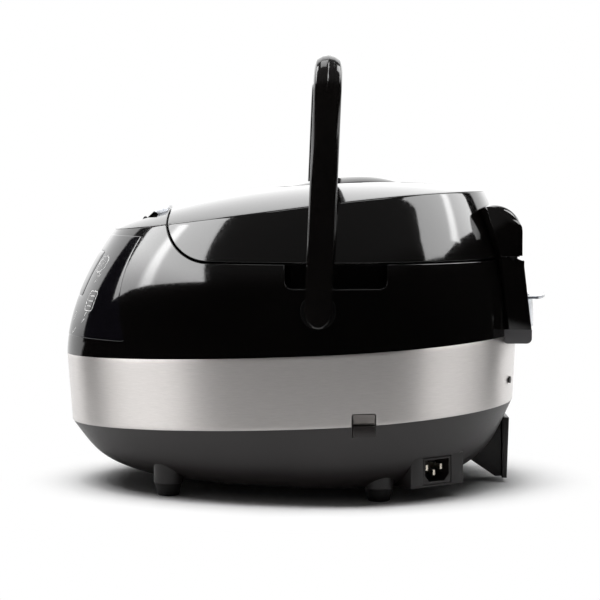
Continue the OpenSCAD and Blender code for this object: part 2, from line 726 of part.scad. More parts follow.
button_top_z = notch_z + 17.2;
module release_button() color("#c9cdd6") {
    rear = button_y + button_l / 2;
    front = button_y - button_l / 2;
    intersection() {
        across(button_w) polygon([[front, button_low_z], [rear, button_low_z], [rear, button_top_z - 1.4],
            [rear - 1.5, button_top_z], [rear - 11, button_top_z - 0.4], [front, button_top_z - 8]]);
        translate([0, button_y, 0]) linear_extrude(far) rounded([button_w, button_l], 3.6);
    }
    translate([-stem_w / 2, stem_y - stem_t / 2, latch_z + 7.6])
        cube([stem_w, stem_t, button_low_z - latch_z - 7.6 + nudge]);
}
module button_springs() color("silver") on_both_sides() translate([spring_x, spring_y, spring_z])
    coil(3, 0.4, 5, button_low_z - spring_z);
module latch_lever() color("#d9d9d6") translate([0, latch_y, latch_z]) difference() {
    across(latch_w) polygon([[-4, -3], [3, -3], [4, 5], [5, 7.5], [latch_nose, 7.5], [latch_nose, 10.3],
        [3, 11], [-2, 9.5], [-3.6, 7], [-latch_arm - 1.5, 7], [-latch_arm - 1.5, 4.5], [-5, 3.5]]);
    rod_x(latch_pin_r + fit, far, small_fn);
}
module latch_pin() color("silver") translate([0, latch_y, latch_z])
    rod_x(latch_pin_r, latch_slot_w + 2 * rib_t, small_fn);

// ---- Pot, shield and heater ---------------------------------------------------------------------

module pot_solid(r, low_z, corner_r) translate([0, pot_y, low_z]) {
    translate([0, 0, corner_r]) cylinder(r = r, h = deck_low_z + flange_t - low_z - corner_r, $fn = 96);
    cylinder(r = r - corner_r, h = corner_r, $fn = 96);
    rotate_extrude($fn = 96) intersection() {
        translate([r - corner_r, corner_r]) circle(corner_r, $fn = round_fn);
        square([r, corner_r]);
    }
}
module inner_pot() color("#57534f") difference() {
    union() {
        pot_solid(pot_r + pot_t, pot_z, pot_corner_r);
        translate([0, pot_y, deck_low_z]) cylinder(r = pot_flange_r, h = flange_t, $fn = 96);
    }
    pot_solid(pot_r, pot_z + pot_t, pot_corner_r - pot_t);
    translate([0, pot_y, deck_low_z - 1]) cylinder(r = pot_r, h = 10, $fn = 96);
}

terminal_ring_r = 66;
terminal_places = [for (a = [200, 340]) [terminal_ring_r * cos(a), pot_y + terminal_ring_r * sin(a)]];
spacer_places = [for (a = [30, 150, 270]) [70 * cos(a), pot_y + 70 * sin(a)]];
stem_r = 5;
module heat_shield() color("#a9a7a3") difference() {
    union() {
        translate([0, pot_y, shield_z]) cylinder(r = shield_out_r, h = ring_z - shield_z, $fn = 96);
        translate([0, pot_y, ring_z - shield_t]) cylinder(r = ring_out_r - 3, h = shield_t, $fn = 96);
    }
    translate([0, pot_y, shield_z + shield_t]) cylinder(r = shield_in_r, h = far, $fn = 96);
    translate([0, pot_y, 0]) cylinder(r = sensor_r + 1.5, h = far, $fn = round_fn);
    for (p = terminal_places) translate([p.x, p.y, 0]) cylinder(r = 7, h = far, $fn = small_fn);
    for (p = post_places) translate([p.x, p.y, 0]) cylinder(r = screw_shank_r + fit, h = far, $fn = small_fn);
}
module plate_spacers() color("#cfc8ba") for (p = spacer_places)
    translate([p.x, p.y, shield_z + shield_t]) cylinder(r = 6, h = spacer_h, $fn = small_fn);
module heating_plate() color("#b3b1ae") translate([0, pot_y, plate_low_z]) difference() {
    cylinder(r = plate_r, h = plate_t, $fn = 96);
    translate([0, 0, -1]) cylinder(r = sensor_r + 1.5, h = plate_t + 2, $fn = round_fn);
    translate([0, 0, -1]) ring(plate_r - 26, sensor_r + 10, 4);
}
module heater_terminals() color("#c9b27a") for (p = terminal_places) translate([p.x, p.y, plate_low_z]) {
    translate([0, 0, -9]) cylinder(r = 3.5, h = 9, $fn = small_fn);
    translate([-0.4, -3, -18]) cube([0.8, 6, 9.5]);
}
module temperature_sensor() color("#c3c1bd") translate([0, pot_y, 0]) {
    difference() {
        translate([0, 0, pot_z - 7]) cylinder(r = sensor_r, h = 7, $fn = round_fn);
        translate([0, 0, pot_z - 8]) cylinder(r = sensor_r - 1.5, h = 6.5, $fn = round_fn);
    }
    translate([0, 0, shield_z - 9]) cylinder(r = stem_r, h = pot_z - shield_z + 8, $fn = round_fn);
}
sensor_spring_top_z = pot_z - 1.5;
module sensor_spring() color("silver") translate([0, pot_y, shield_z])
    coil(8, 0.6, 4, sensor_spring_top_z - shield_z);
module sensor_bracket() color("#a9a7a3") translate([0, pot_y, shield_z - 2])
    ring(sensor_r + 7, stem_r + fit, 2);
module thermal_fuse() color("#d8d4c8") translate([0, pot_y - 40, shield_z - 2.5]) {
    rod_x(2.2, 24, small_fn);
    translate([-4, -6, -2.4]) cube([8, 12, 0.2 + 4.7]);
}

// ---- Electrics ----------------------------------------------------------------------------------

module power_board() color("#2f5f3a") translate([0, board_y, board_z]) {
    translate([-board_size.x / 2, -board_size.y / 2, 0]) cube(board_size);
    translate([-38, -18, board_size.z]) cube([26, 24, 17]);
    translate([-6, -16, board_size.z]) cube([19, 15, 15]);
    translate([24, 4, board_size.z]) cylinder(r = 6, h = 18, $fn = small_fn);
    translate([30, -14, board_size.z]) cube([9, 12, 9]);
}
module control_board() color("#2f5f3a") at_control_board() difference() {
    union() {
        translate([-control_size.x / 2, -control_size.y / 2, 0]) cube([control_size.x, control_size.y, control_t]);
        translate([-display_half_w + 6, -10, control_t]) cube([2 * display_half_w - 12, 22, 8]);
        translate([-20, -20, -5]) cube([40, 9, 5]);
    }
    for (p = control_holes) translate([p.x, p.y, -10]) cylinder(r = 1.6, h = 30, $fn = small_fn);
}
wire_r = 1.4;
under_board_z = board_z - wire_r - 0.05;
pin_reach = inlet_depth + inlet_flange + 6 + wire_r + 0.1;
module wire(points) for (k = [0:len(points) - 2]) hull() for (p = [points[k], points[k + 1]])
    translate(p) sphere(wire_r, $fn = 8);
module board_wiring() color("#8a2f2a") {
    wire([[inlet_x - pin_reach * cos(inlet_turn), inlet_y - pin_reach * sin(inlet_turn), inlet_z - 2],
        [52, 62, 19], [40, 40, 16], [30, -40, 16], [24, board_y + 26, under_board_z]]);
    wire([[-20, board_y + 26, under_board_z], [-30, -80, 22], [-50, -30, 22], [-62, -3, 20.5]]);
    wire([[0, board_y - 19.6, 33.2], [0, board_y - 26, 60], [0, board_y - 34, 100], [0, board_y - 24, 132]]);
}

// ---- Lid ----------------------------------------------------------------------------------------

recess_z = top_z(0, valve_y) - recess_depth;
recess_y = valve_y + 7;
recess_w = valve_w + 9;
recess_floor_t = 2;
module hinge_cut(ahead) across(2 * hinge_cut_half_w) {
    translate([hinge_y, hinge_z]) circle(knuckle_r + hinge_clear, $fn = round_fn);
    translate([hinge_y - knuckle_r - hinge_clear - ahead, hinge_z - 20]) square([40, 20 + knuckle_r + hinge_clear]);
}
lid_screw_in = [29.5, 14.3];
lid_screw_turn = [-22.8, 47.5];
lid_screw_places = [for (side = [-1, 1], k = [0, 1]) let (r = pot_r - lid_screw_in[k])
    [side * r * cos(lid_screw_turn[k]), pot_y + r * sin(lid_screw_turn[k])]];
lid_boss_r = 4;

module lid_cover() color("#0b0a0b") difference() {
    union() {
        difference() {
            intersection() {
                upper_outer();
                lid_room(-split);
            }
            intersection() {
                upper_inner(lid_t);
                translate([-far / 2, -lid_front + split - nudge, 0]) cube([far, far, far]);
            }
        }
        intersection() {
            upper_outer();
            union() {
                translate([0, recess_y, recess_z - recess_floor_t]) linear_extrude(far)
                    oval([recess_w + 2 * lid_t, valve_l + 2 * recess_margin + 2 * lid_t]);
                for (p = lid_screw_places) translate([p.x, p.y, ceiling_z + liner_t])
                    cylinder(r = lid_boss_r, h = far, $fn = small_fn);
            }
        }
    }
    translate([0, recess_y, recess_z]) linear_extrude(far) oval([recess_w, valve_l + 2 * recess_margin]);
    translate([0, valve_y, 0]) cylinder(r = valve_cup_r + gap, h = far, $fn = round_fn);
    for (p = lid_screw_places) translate([p.x, p.y, 0])
        cylinder(r = screw_shank_r + fit, h = ceiling_z + 20, $fn = small_fn);
    hinge_cut(6.5);
}
boss_places = [for (a = [90, 210, 330]) [88 * cos(a), pot_y + 88 * sin(a)]];
pipe_r = 5;
plate_z = ceiling_z - 4.6;
lid_plate_t = 1;
gasket_in_r = recess_r - 9.2;
sensor_place = [45, pot_y + 30];
module lid_liner() color("#2a2829") difference() {
    union() {
        difference() {
            intersection() {
                upper_inner(lid_t + gap);
                lid_room(-split);
            }
            difference() {
                lid_room(-split - liner_t);
                translate([0, pot_y, 0]) cylinder(r = recess_r + liner_t, h = ceiling_z + liner_t, $fn = 96);
            }
        }
        for (p = boss_places) translate([p.x, p.y, plate_z + lid_plate_t])
            cylinder(r = 4, h = ceiling_z - plate_z, $fn = small_fn);
    }
    difference() {
        translate([0, pot_y, 0]) cylinder(r = recess_r, h = ceiling_z, $fn = 96);
        for (p = boss_places) translate([p.x, p.y, plate_z + lid_plate_t])
            cylinder(r = 4, h = ceiling_z, $fn = small_fn);
    }
    translate([0, valve_y, 0]) cylinder(r = pipe_r + gap, h = far, $fn = small_fn);
    translate([sensor_place.x, sensor_place.y, 0]) cylinder(r = 4 + gap, h = far, $fn = small_fn);
    for (p = lid_screw_places) translate([p.x, p.y, 0]) cylinder(r = screw_shank_r + fit, h = far, $fn = small_fn);
    translate([-latch_slot_w / 2, -lid_front - 5, latch_z + 4]) cube([latch_slot_w, 12, 9]);
    hinge_cut(2);
}
module inner_lid_plate() color("#c6c4c0") translate([0, pot_y, plate_z]) difference() {
    cylinder(r = gasket_in_r - 0.1, h = lid_plate_t, $fn = 96);
    translate([0, 0, -1]) cylinder(r = 4 + gap, h = 3, $fn = small_fn);
    translate([0, valve_y - pot_y + 0, -1]) cylinder(r = 0.01 + pipe_r, h = 3, $fn = small_fn);
    translate([sensor_place.x, sensor_place.y - pot_y, -1]) cylinder(r = 4 + gap, h = 3, $fn = small_fn);
}
module lid_gasket() color("#d5d2cc") translate([0, pot_y, 0]) rotate_extrude($fn = 96)
    polygon([[gasket_in_r, plate_z + 3], [recess_r - 2.8, plate_z + 3], [recess_r - 2.8, plate_z - 0.8],
        [recess_r - 1.6, deck_low_z + flange_t + gap], [recess_r - 3.4, deck_low_z + flange_t + gap],
        [recess_r - 5.4, plate_z - 1.6], [gasket_in_r, plate_z - 1.6]]);
module plate_knob() color("#2a2829") translate([0, pot_y, 0]) {
    translate([0, 0, plate_z - 3.5]) cylinder(r = 9, h = 3.5, $fn = round_fn);
    translate([0, 0, plate_z - nudge]) cylinder(r = 4, h = ceiling_z - plate_z + nudge, $fn = small_fn);
}
module lid_sensor() color("#b9b7b3") translate([sensor_place.x, sensor_place.y, 0]) {
    translate([0, 0, plate_z - 2]) cylinder(r = 4, h = ceiling_z + liner_t - plate_z + 3, $fn = small_fn);
    translate([0, 0, ceiling_z + liner_t]) cylinder(r = 6, h = 2, $fn = small_fn);
}
module lid_screws() color("silver") for (p = lid_screw_places) translate([p.x, p.y, ceiling_z]) {
    translate([0, 0, -1.8]) cylinder(r = 3, h = 1.8, $fn = small_fn);
    cylinder(r = screw_shank_r, h = 16, $fn = small_fn);
}
module lid_catch() color("silver") difference() {
    translate([-latch_slot_w / 2 - 3, pot_y - recess_r + 0.6, ceiling_z + liner_t])
        cube([latch_slot_w + 6, 1.6, 14.4]);
    translate([-latch_slot_w / 2 + 0.5, -lid_front, latch_z + 5]) cube([latch_slot_w - 1, 10, 7]);
}

// ---- Steam valve ----------------------------------------------------------------------------------

cap_t = 1.8;
cap_arch_r = 600;
cap_pitch = 3.6;
module cap_solid(in) intersection() {
    translate([0, valve_y, recess_z - in]) linear_extrude(far) oval([valve_w - 2 * in, valve_l - 2 * in]);
    translate([0, valve_y, recess_z + valve_h - in]) rotate([cap_pitch, 0, 0])
        translate([0, 0, -cap_arch_r]) rod_x(cap_arch_r, valve_w, 180);
}
module valve_cap() color("#100f10") difference() {
    cap_solid(0);
    cap_solid(cap_t);
    for (y = [-22, 22]) translate([-7, valve_y + y - 1.5, recess_z + 2]) cube([14, 3, far]);
}
cup_flange_t = 1.4;
cup_depth = 26;
module valve_body() color("#2a2829") translate([0, valve_y, 0]) difference() {
    union() {
        translate([0, 0, recess_z]) cylinder(r = valve_cup_r + 3, h = cup_flange_t, $fn = round_fn);
        translate([0, 0, recess_z - cup_depth]) cylinder(r = valve_cup_r, h = cup_depth, $fn = round_fn);
        translate([0, 0, plate_z + lid_plate_t + gap])
            cylinder(r = pipe_r, h = recess_z - cup_depth - plate_z, $fn = small_fn);
    }
    translate([0, 0, recess_z - cup_depth + 1.6]) cylinder(r = valve_cup_r - 1.6, h = far, $fn = round_fn);
    cylinder(r = pipe_r - 1.4, h = far, $fn = small_fn);
}
module valve_gasket() color("#d5d2cc") translate([0, valve_y, ceiling_z + liner_t])
    ring(pipe_r + 3, pipe_r + 0.1, 2.5, round_fn);

// ---- Hinge ----------------------------------------------------------------------------------------

cover_r = 21;
cover_rear_y = hinge_y + 6.5;
cover_top_z = crease_z(body_rear) - 10.3;
cover_low_z = hinge_z + 0.7;
// The box's front corners are cut at 45 degrees, and the cuts lean forward with the walls.
facet_y = hinge_y - 9.5;
cover_facet_tilt = 17;
box_facet_tilt = 6.5;
module facet_cut(lean) on_both_sides() translate([hinge_half_w, facet_y, cover_low_z])
    rotate([lean, 0, 0]) rotate([0, 0, 45]) translate([-far / 2, -far, -far / 2]) cube(far);
module facet_cut_inner() translate([0, lid_t * 1.5, 0]) facet_cut(cover_facet_tilt);
module cover_side(d) {
    translate([cover_rear_y - cover_r, cover_top_z - cover_r]) circle(cover_r - d, $fn = 96);
    translate([cover_rear_y - 2 * cover_r + d, cover_low_z - 1])
        square([2 * cover_r - 2 * d, cover_top_z - cover_r - cover_low_z + 1]);
}
module hinge_cover() color("#0b0a0b") difference() {
    intersection() {
        across(2 * hinge_half_w) cover_side(0);
        translate([-far / 2, 0, cover_low_z]) cube(far);
    }
    difference() {
        across(2 * hinge_half_w - 2 * lid_t) cover_side(lid_t);
        facet_cut_inner();
    }
    facet_cut(cover_facet_tilt);
    upper_outer(gap);
    translate([-far / 2, cover_rear_y - 2.2, 0]) cube([far, 10, cover_low_z + 0.7]);
}
bracket_t = 2;
lid_knuckle_places = [-lid_knuckle_x, lid_knuckle_x];
module hinge_bracket() color("silver") difference() {
    union() {
        for (x = lid_knuckle_places) {
            translate([x, hinge_y, hinge_z]) rod_x(knuckle_r, knuckle_w);
            translate([x - knuckle_w / 2, pan_rear_y, lid_z + liner_t])
                cube([knuckle_w, hinge_y - pan_rear_y, bracket_t]);
        }
        translate([-lid_knuckle_x - knuckle_w / 2, pan_rear_y, lid_z + liner_t])
            cube([2 * lid_knuckle_x + knuckle_w, 6.4, bracket_t]);
    }
    translate([0, hinge_y, hinge_z]) rod_x(hinge_pin_r + fit, far);
}
module hinge_pin() color("silver") translate([0, hinge_y, hinge_z])
    rod_x(hinge_pin_r, 2 * box_knuckle_x + knuckle_w, round_fn);
spring_wire_r = 0.7;
spring_pitch = 1.3;
module hinge_spring() color("#8c8a88") translate([0, hinge_y, hinge_z]) {
    for (k = [-8:8]) translate([k * spring_pitch, 0, 0]) rotate([0, 90, 0]) rotate_extrude($fn = small_fn)
        translate([hinge_pin_r + 0.3 + spring_wire_r, 0]) circle(spring_wire_r, $fn = 16);
}

// The lower box: side view of its outer face, moved in by d
module box_side(d) polygon([[hinge_y - 40, box_low_z + d], [box_rear_y + 5.9 - d, box_low_z + d],
    [box_rear_y - d, hinge_z - 6.5], [box_rear_y - d, hinge_z - 2.2 - d / 2],
    [hinge_y + 6 - d / 2, hinge_z - 2.2 - d / 2],
    [hinge_y + 1 - d / 2, box_top_z - d], [hinge_y - 40, box_top_z - d]]);
cup_room_top_z = cup_lip_z + 1;
cup_low_z = box_low_z + 0.3;
cup_room_half_w = cup_half_w + gap;
module box_solid(d) across(2 * hinge_half_w - 2 * d) box_side(d);
module hinge_housing() color("#0b0a0b") difference() {
    union() {
        difference() {
            box_solid(0);
            difference() {
                box_solid(lid_t);
                translate([-cup_room_half_w - lid_t, 0, 0])
                    cube([2 * (cup_room_half_w + lid_t), far, cup_room_top_z + lid_t]);
            }
            translate([-cup_room_half_w, 0, 0]) cube([2 * cup_room_half_w, far, cup_room_top_z]);
            translate([-hinge_cut_half_w, 0, hinge_z - 10])
                cube([2 * hinge_cut_half_w, hinge_y + knuckle_r + hinge_clear, far]);
            belt_outer(gap);
            facet_cut(box_facet_tilt);
        }
        for (x = [-box_knuckle_x, box_knuckle_x]) {
            translate([x, hinge_y, hinge_z]) rod_x(knuckle_r, knuckle_w - 1);
            translate([x - knuckle_w / 2 + 0.5, hinge_y - knuckle_r, hinge_z - 12.5])
                cube([knuckle_w - 1, 2 * knuckle_r, 12.5]);
            translate([x - knuckle_w / 2 + 0.5, hinge_y, hinge_z - 12.5])
                cube([knuckle_w - 1, box_rear_y - hinge_y - 1, 7]);
        }
    }
    translate([0, hinge_y, hinge_z]) rod_x(hinge_pin_r + fit, far);
}

// ---- Condensate cup -------------------------------------------------------------------------------

holder_h = 10.7;
holder_corner_r = 4;
module condensate_holder() color("#4a484a") difference() {
    across(2 * hinge_half_w) {
        rear = box_rear_y + 6.2;
        translate([hinge_y - 8, box_low_z - holder_h + holder_corner_r])
            square([rear - hinge_y + 8, holder_h - holder_corner_r]);
        translate([hinge_y - 8 + holder_corner_r, box_low_z - holder_h])
            square([rear - hinge_y + 8 - 2 * holder_corner_r, holder_h]);
        for (y = [hinge_y - 8 + holder_corner_r, rear - holder_corner_r])
            translate([y, box_low_z - holder_h + holder_corner_r]) circle(holder_corner_r, $fn = small_fn);
    }
    belt_outer(gap);
}

cup_arc_r = 110;
cup_rear_y = box_rear_y + 13;
cup_lean = 3.6;
module cup_prism(reach, in, h) translate([0, reach - cup_arc_r, 0]) cylinder(r = cup_arc_r - in, h = h, $fn = 180);
module cup_side(in) polygon([[hinge_y - 30, cup_low_z + in], [cup_rear_y - 0.5 - in, cup_low_z + in],
    [cup_rear_y - in, cup_low_z + 3], [cup_rear_y - cup_lean - in, cup_lip_z], [hinge_y - 30, cup_lip_z]]);
module cup_block(in, back) difference() {
    intersection() {
        across(2 * (cup_half_w - in)) cup_side(in);
        cup_prism(cup_rear_y, in, far);
    }
    belt_outer(back);
}
module condensate_cup() color("#c8d0dc") difference() {
    union() {
        cup_block(0, 2 * gap);
        intersection() {
            translate([-cup_half_w, hinge_y, cup_lip_z - cup_t - 0.4]) cube([2 * cup_half_w, far, cup_t + 0.4]);
            cup_prism(box_rear_y + cup_reach, 0, far);
        }
    }
    translate([0, 0, nudge]) cup_block(cup_t, 2 * gap + cup_t);
    translate([-far / 2, 0, cup_lip_z]) cube(far);
    belt_outer(2 * gap);
}

// ---- Handle ---------------------------------------------------------------------------------------

module at_pivot() translate([0, pivot_y, pivot_z]) rotate([-handle_lean, 0, 0]) children();
// The bail's front view, with its inner edge moved in by in
module bail(half_w, rise, r) {
    translate([-half_w, 0]) square([2 * half_w, rise - r]);
    translate([-half_w + r, 0]) square([2 * half_w - 2 * r, rise]);
    for (x = [-1, 1]) translate([x * (half_w - r), rise - r]) circle(r, $fn = 96);
}
module carry_handle() color("#0b0a0b") at_pivot() {
    rotate([90, 0, 0]) linear_extrude(arm_w, center = true) difference() {
        bail(arm_out_x, handle_rise, handle_corner_r);
        translate([0, -nudge]) bail(arm_in_x, handle_rise - grip_t, handle_corner_r - arm_t);
    }
    on_both_sides() {
        translate([arm_in_x + arm_t / 2, 0, 0]) intersection() {
            rod_x(arm_w / 2, arm_t, 96);
            translate([-far / 2, -far / 2, -far + nudge]) cube(far);
        }
        difference() {
            translate([arm_in_x - 8, 0, 0]) rod_x(stub_r, 16 + 2 * nudge);
            translate([clip_x, 0, 0]) rotate([0, 90, 0]) ring(stub_r + 1, stub_r - 1, clip_t + 0.2);
        }
    }
}
clip_t = 1.2;
clip_x = bush_in_x - clip_t - 0.4;
module handle_bushings() color("#8c8a88") on_both_sides() translate([0, pivot_y, pivot_z]) rotate([0, 90, 0]) {
    translate([0, 0, bush_in_x]) ring(bush_r, stub_r + fit, pad_x - bush_in_x);
    translate([0, 0, pad_x]) ring(bush_flange_r, stub_r + fit, bush_flange_t);
}
module handle_clips() color("silver") on_both_sides() at_pivot()
    translate([clip_x + 0.1, 0, 0]) rotate([0, 90, 0]) ring(stub_r + 2.6, stub_r - 0.9, clip_t);

module base_screws() color("silver") for (p = post_places) translate([p.x, p.y, base_z + head_room_h]) {
    translate([0, 0, -2]) cylinder(r = screw_head_r, h = 2, $fn = small_fn);
    cylinder(r = screw_shank_r, h = shield_z + shield_t + 1.5 - base_z - head_room_h, $fn = small_fn);
}

base_shell();
rubber_feet();
rear_leg();
power_inlet();
inlet_pins();
holder_socket();
steel_band();
band_screws();
upper_housing();
pot_rim_ring();
heat_shield();
plate_spacers();
heating_plate();
heater_terminals();
temperature_sensor();
sensor_spring();
sensor_bracket();
thermal_fuse();
power_board();
control_board();
board_wiring();
inner_pot();
control_panel();
display_window();
release_button();
button_springs();
latch_lever();
latch_pin();
lid_cover();
lid_liner();
inner_lid_plate();
lid_gasket();
plate_knob();
lid_sensor();
lid_screws();
lid_catch();
valve_cap();
valve_body();
valve_gasket();
hinge_cover();
hinge_bracket();
hinge_housing();
hinge_pin();
hinge_spring();
condensate_holder();
condensate_cup();
carry_handle();
handle_bushings();
handle_clips();
base_screws();
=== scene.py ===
"""Looks of the multicooker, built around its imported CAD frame."""
import json
import math

import bmesh
import bpy
import numpy as np
from mathutils import Matrix, Vector
from mathutils.bvhtree import BVHTree


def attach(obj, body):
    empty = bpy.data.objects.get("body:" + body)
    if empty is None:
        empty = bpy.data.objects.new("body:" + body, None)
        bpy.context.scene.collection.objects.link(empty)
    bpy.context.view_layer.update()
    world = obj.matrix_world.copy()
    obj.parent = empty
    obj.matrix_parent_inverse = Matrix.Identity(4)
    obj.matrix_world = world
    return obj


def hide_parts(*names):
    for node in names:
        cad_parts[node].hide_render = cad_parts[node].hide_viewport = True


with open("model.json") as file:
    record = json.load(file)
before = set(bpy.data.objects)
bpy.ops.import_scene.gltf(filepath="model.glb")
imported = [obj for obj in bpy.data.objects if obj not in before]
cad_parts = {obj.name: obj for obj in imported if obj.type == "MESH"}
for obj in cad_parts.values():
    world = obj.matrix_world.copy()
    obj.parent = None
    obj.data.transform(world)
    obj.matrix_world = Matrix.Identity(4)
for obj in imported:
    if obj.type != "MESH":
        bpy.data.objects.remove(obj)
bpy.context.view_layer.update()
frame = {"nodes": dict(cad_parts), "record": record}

MM = 0.001

# ---- Forms shared with the CAD source, in millimetres ----
PLAN_POWER = 1.85
BAND_TOP = (23.0, 211.0, 142.5, 146.0)      # middle, front length, rear length, half width
BAND_LOW = (23.0, 207.0, 140.0, 144.5)
CREASE = (15.0, 164.5, 124.5, 111.0)
FLOOR = (23.0, 150.0, 89.5, 108.0)
BAND_H = 53.0
BAND_T = 0.8
RIM_Z, SLOPE = 111.2, math.tan(math.radians(2.8))
CREASE_Z, CREASE_RISE = 199.0, 29.8
CROWN_H, CROWN_PEAK = 16.6, 0.5296 * 4 / 7      # the second one is the profile's own highest value
BULGE_FRONT, BULGE_REAR, BULGE_SIDE = 1.75, 2.0, 2.5
BASE_Z = 9.5
SEAM_Z, SPLIT = 177.4, 0.7
DECK_Z = SEAM_Z - SPLIT
LID_FRONT, LID_R = 105.0, 32.0
ARC_Y, ARC_Z = LID_R - LID_FRONT, SEAM_Z + LID_R      # middle of the arc at the lid's front
POT_Y = 20.0
RIM_HOLE_R, PAN_R = 122.5, 124.6
VALVE_C, VALVE_Y = (0.0, 39.0), 32.0
RECESS, OVAL_POWER = (32.5, 65.0), 2.6
N = 480


def round_angles(n):
    return np.arange(n) * 2 * math.pi / n


ANG = round_angles(N)


def spow(v, e):
    return np.sign(v) * np.abs(v) ** e


def lerp(a, b, t):
    return a + (b - a) * t


def egg(a, o, d=0.0):
    """Points at angles a of the plan outline o, moved in by d."""
    e = 2 / PLAN_POWER
    reach = np.where(np.sin(a) < 0, o[1], o[2])
    return np.stack([(o[3] - d) * spow(np.cos(a), e), o[0] + (reach - d) * spow(np.sin(a), e)], -1)


def half_at(y, o):
    """Half width of the plan outline o at y."""
    q = np.clip(np.abs(y - o[0]) / np.where(y < o[0], o[1], o[2]), 0, 1)
    return o[3] * (1 - q ** PLAN_POWER) ** (1 / PLAN_POWER)


def rim_z(y):
    return RIM_Z + SLOPE * y


def crease_s(y):
    """Share of the way from the crease's front to its rear."""
    return np.clip((y - CREASE[0] + CREASE[1]) / (CREASE[1] + CREASE[2]), 0, 1)


def crease_z(y):
    s = crease_s(y)
    return CREASE_Z + CREASE_RISE * (s + s * s * (1 - s))


def top_z(x, y):
    """Height of the lid's crowned top."""
    s = crease_s(y)
    crown_h = CROWN_H * s ** 0.75 * (1 - s) / CROWN_PEAK
    q = np.clip(np.abs(x) / np.maximum(1, half_at(y, CREASE)), 0, 1)
    return crease_z(y) + crown_h * (1 - q * q)


def bulge(a):
    """The wall's power at angle a: the higher it is, the fuller the wall."""
    end = np.where(np.sin(a) < 0, BULGE_FRONT, BULGE_REAR)
    return end + (BULGE_SIDE - end) * np.abs(np.cos(a))


def wall(a, s):
    """The housing's wall at angle a, from the band at s = 0 to the crease at s = 1."""
    b, c = egg(a, BAND_TOP), egg(a, CREASE)
    k = (s ** bulge(a))[..., None]
    p = b + (c - b) * k
    z = lerp(rim_z(b[..., 1]), crease_z(c[..., 1]), s)
    return np.concatenate([p, z[..., None]], -1)


def crown(a, t):
    """The top at angle a, from the recess's middle at t = 0 to the crease at t = 1."""
    c = egg(a, CREASE)
    x = lerp(VALVE_C[0], c[..., 0], t)
    y = lerp(VALVE_C[1], c[..., 1], t)
    return np.stack([x, y, top_z(x, y)], -1)


def skin(a, w):
    """Crown for w up to 1, wall for w from 1 to 2."""
    w = np.asarray(w, float) * np.ones_like(a)
    return np.where((w <= 1)[..., None], crown(a, np.clip(w, 0, 1)), wall(a, np.clip(2 - w, 0, 1)))


def lid_side(p):
    """How far a point lies inside the lid's room, seen from the side."""
    y, z = p[..., 1], p[..., 2]
    round_d = LID_R - np.hypot(y - ARC_Y, z - ARC_Z)
    return np.where(y >= ARC_Y, z - SEAM_Z, np.where(z >= ARC_Z, y + LID_FRONT, round_d))


def cross_w(level):
    """Where each column leaves the lid's room, counted from the middle."""
    w = np.linspace(0.3, 2.0, 1400)
    d = lid_side(skin(*np.broadcast_arrays(ANG[:, None], w))) - level
    k = np.argmax(d < 0, axis=1)
    i = np.arange(N)
    d0, d1 = d[i, k - 1], d[i, k]
    return w[k - 1] + (w[k] - w[k - 1]) * d0 / (d0 - d1)


# ---- Mesh helpers ----

def add_object(name, data):
    """A new object in the scene."""
    obj = bpy.data.objects.new(name, data)
    bpy.context.scene.collection.objects.link(obj)
    return obj


def new_object(name, verts, faces, sharp):
    """An object from points in millimetres, with doubled points merged and its normals turned out."""
    mesh = bpy.data.meshes.new(name)
    mesh.from_pydata([tuple(float(c) * MM for c in v) for v in verts], [], faces)
    bm = bmesh.new()
    bm.from_mesh(mesh)
    bmesh.ops.remove_doubles(bm, verts=bm.verts, dist=1e-6)
    bmesh.ops.dissolve_degenerate(bm, edges=bm.edges, dist=1e-7)
    bmesh.ops.recalc_face_normals(bm, faces=bm.faces)
    bm.to_mesh(mesh)
    bm.free()
    obj = add_object(name, mesh)
    shade(obj, sharp)
    return obj


def shade(obj, sharp):
    """Smooth shading, apart from edges that turn by more than sharp degrees."""
    mesh = obj.data
    mesh.polygons.foreach_set("use_smooth", [True] * len(mesh.polygons))
    if sharp:
        mesh.set_sharp_from_angle(angle=math.radians(sharp))
    mesh.update()


def grid_faces(rows, cols, wrap, closed=True):
    """Quads over a grid of points that are kept row by row."""
    faces = []
    for i in range(rows if wrap else rows - 1):
        a, b = i * cols, (i + 1) % rows * cols
        for j in range(cols if closed else cols - 1):
            k = (j + 1) % cols
            faces.append((a + j, a + k, b + k, b + j))
    return faces


def loft(name, rows, wrap=False, caps=False, sharp=None):
    """A skin over closed rows with the same number of points; wrap joins the last row to the first."""
    rows = [np.asarray(r, float) for r in rows]
    n = len(rows[0])
    verts = list(np.concatenate(rows))
    faces = grid_faces(len(rows), n, wrap)
    for row in (0, len(rows) - 1) if caps else ():
        faces += [(row * n + j, row * n + (j + 1) % n, len(verts)) for j in range(n)]
        verts.append(rows[row].mean(0))
    return new_object(name, verts, faces, sharp)


def apply_modifiers(obj):
    deps = bpy.context.evaluated_depsgraph_get()
    mesh = bpy.data.meshes.new_from_object(obj.evaluated_get(deps))
    obj.modifiers.clear()
    old, obj.data = obj.data, mesh
    bpy.data.meshes.remove(old)


def cut(obj, cutters, mode="DIFFERENCE"):
    """Cuts an object with others, which are used up."""
    for c in cutters:
        mod = obj.modifiers.new("cut", "BOOLEAN")
        mod.object, mod.operation, mod.solver = c, mode, "EXACT"
    apply_modifiers(obj)
    for c in cutters:
        bpy.data.objects.remove(c, do_unlink=True)


def bevel(obj, width, angle=30):
    """Rounds the edges that turn by more than angle degrees."""
    mod = obj.modifiers.new("bevel", "BEVEL")
    mod.width, mod.segments, mod.limit_method = width * MM, 3, "ANGLE"
    mod.angle_limit = math.radians(angle)
    apply_modifiers(obj)
    shade(obj, 40)
    return obj


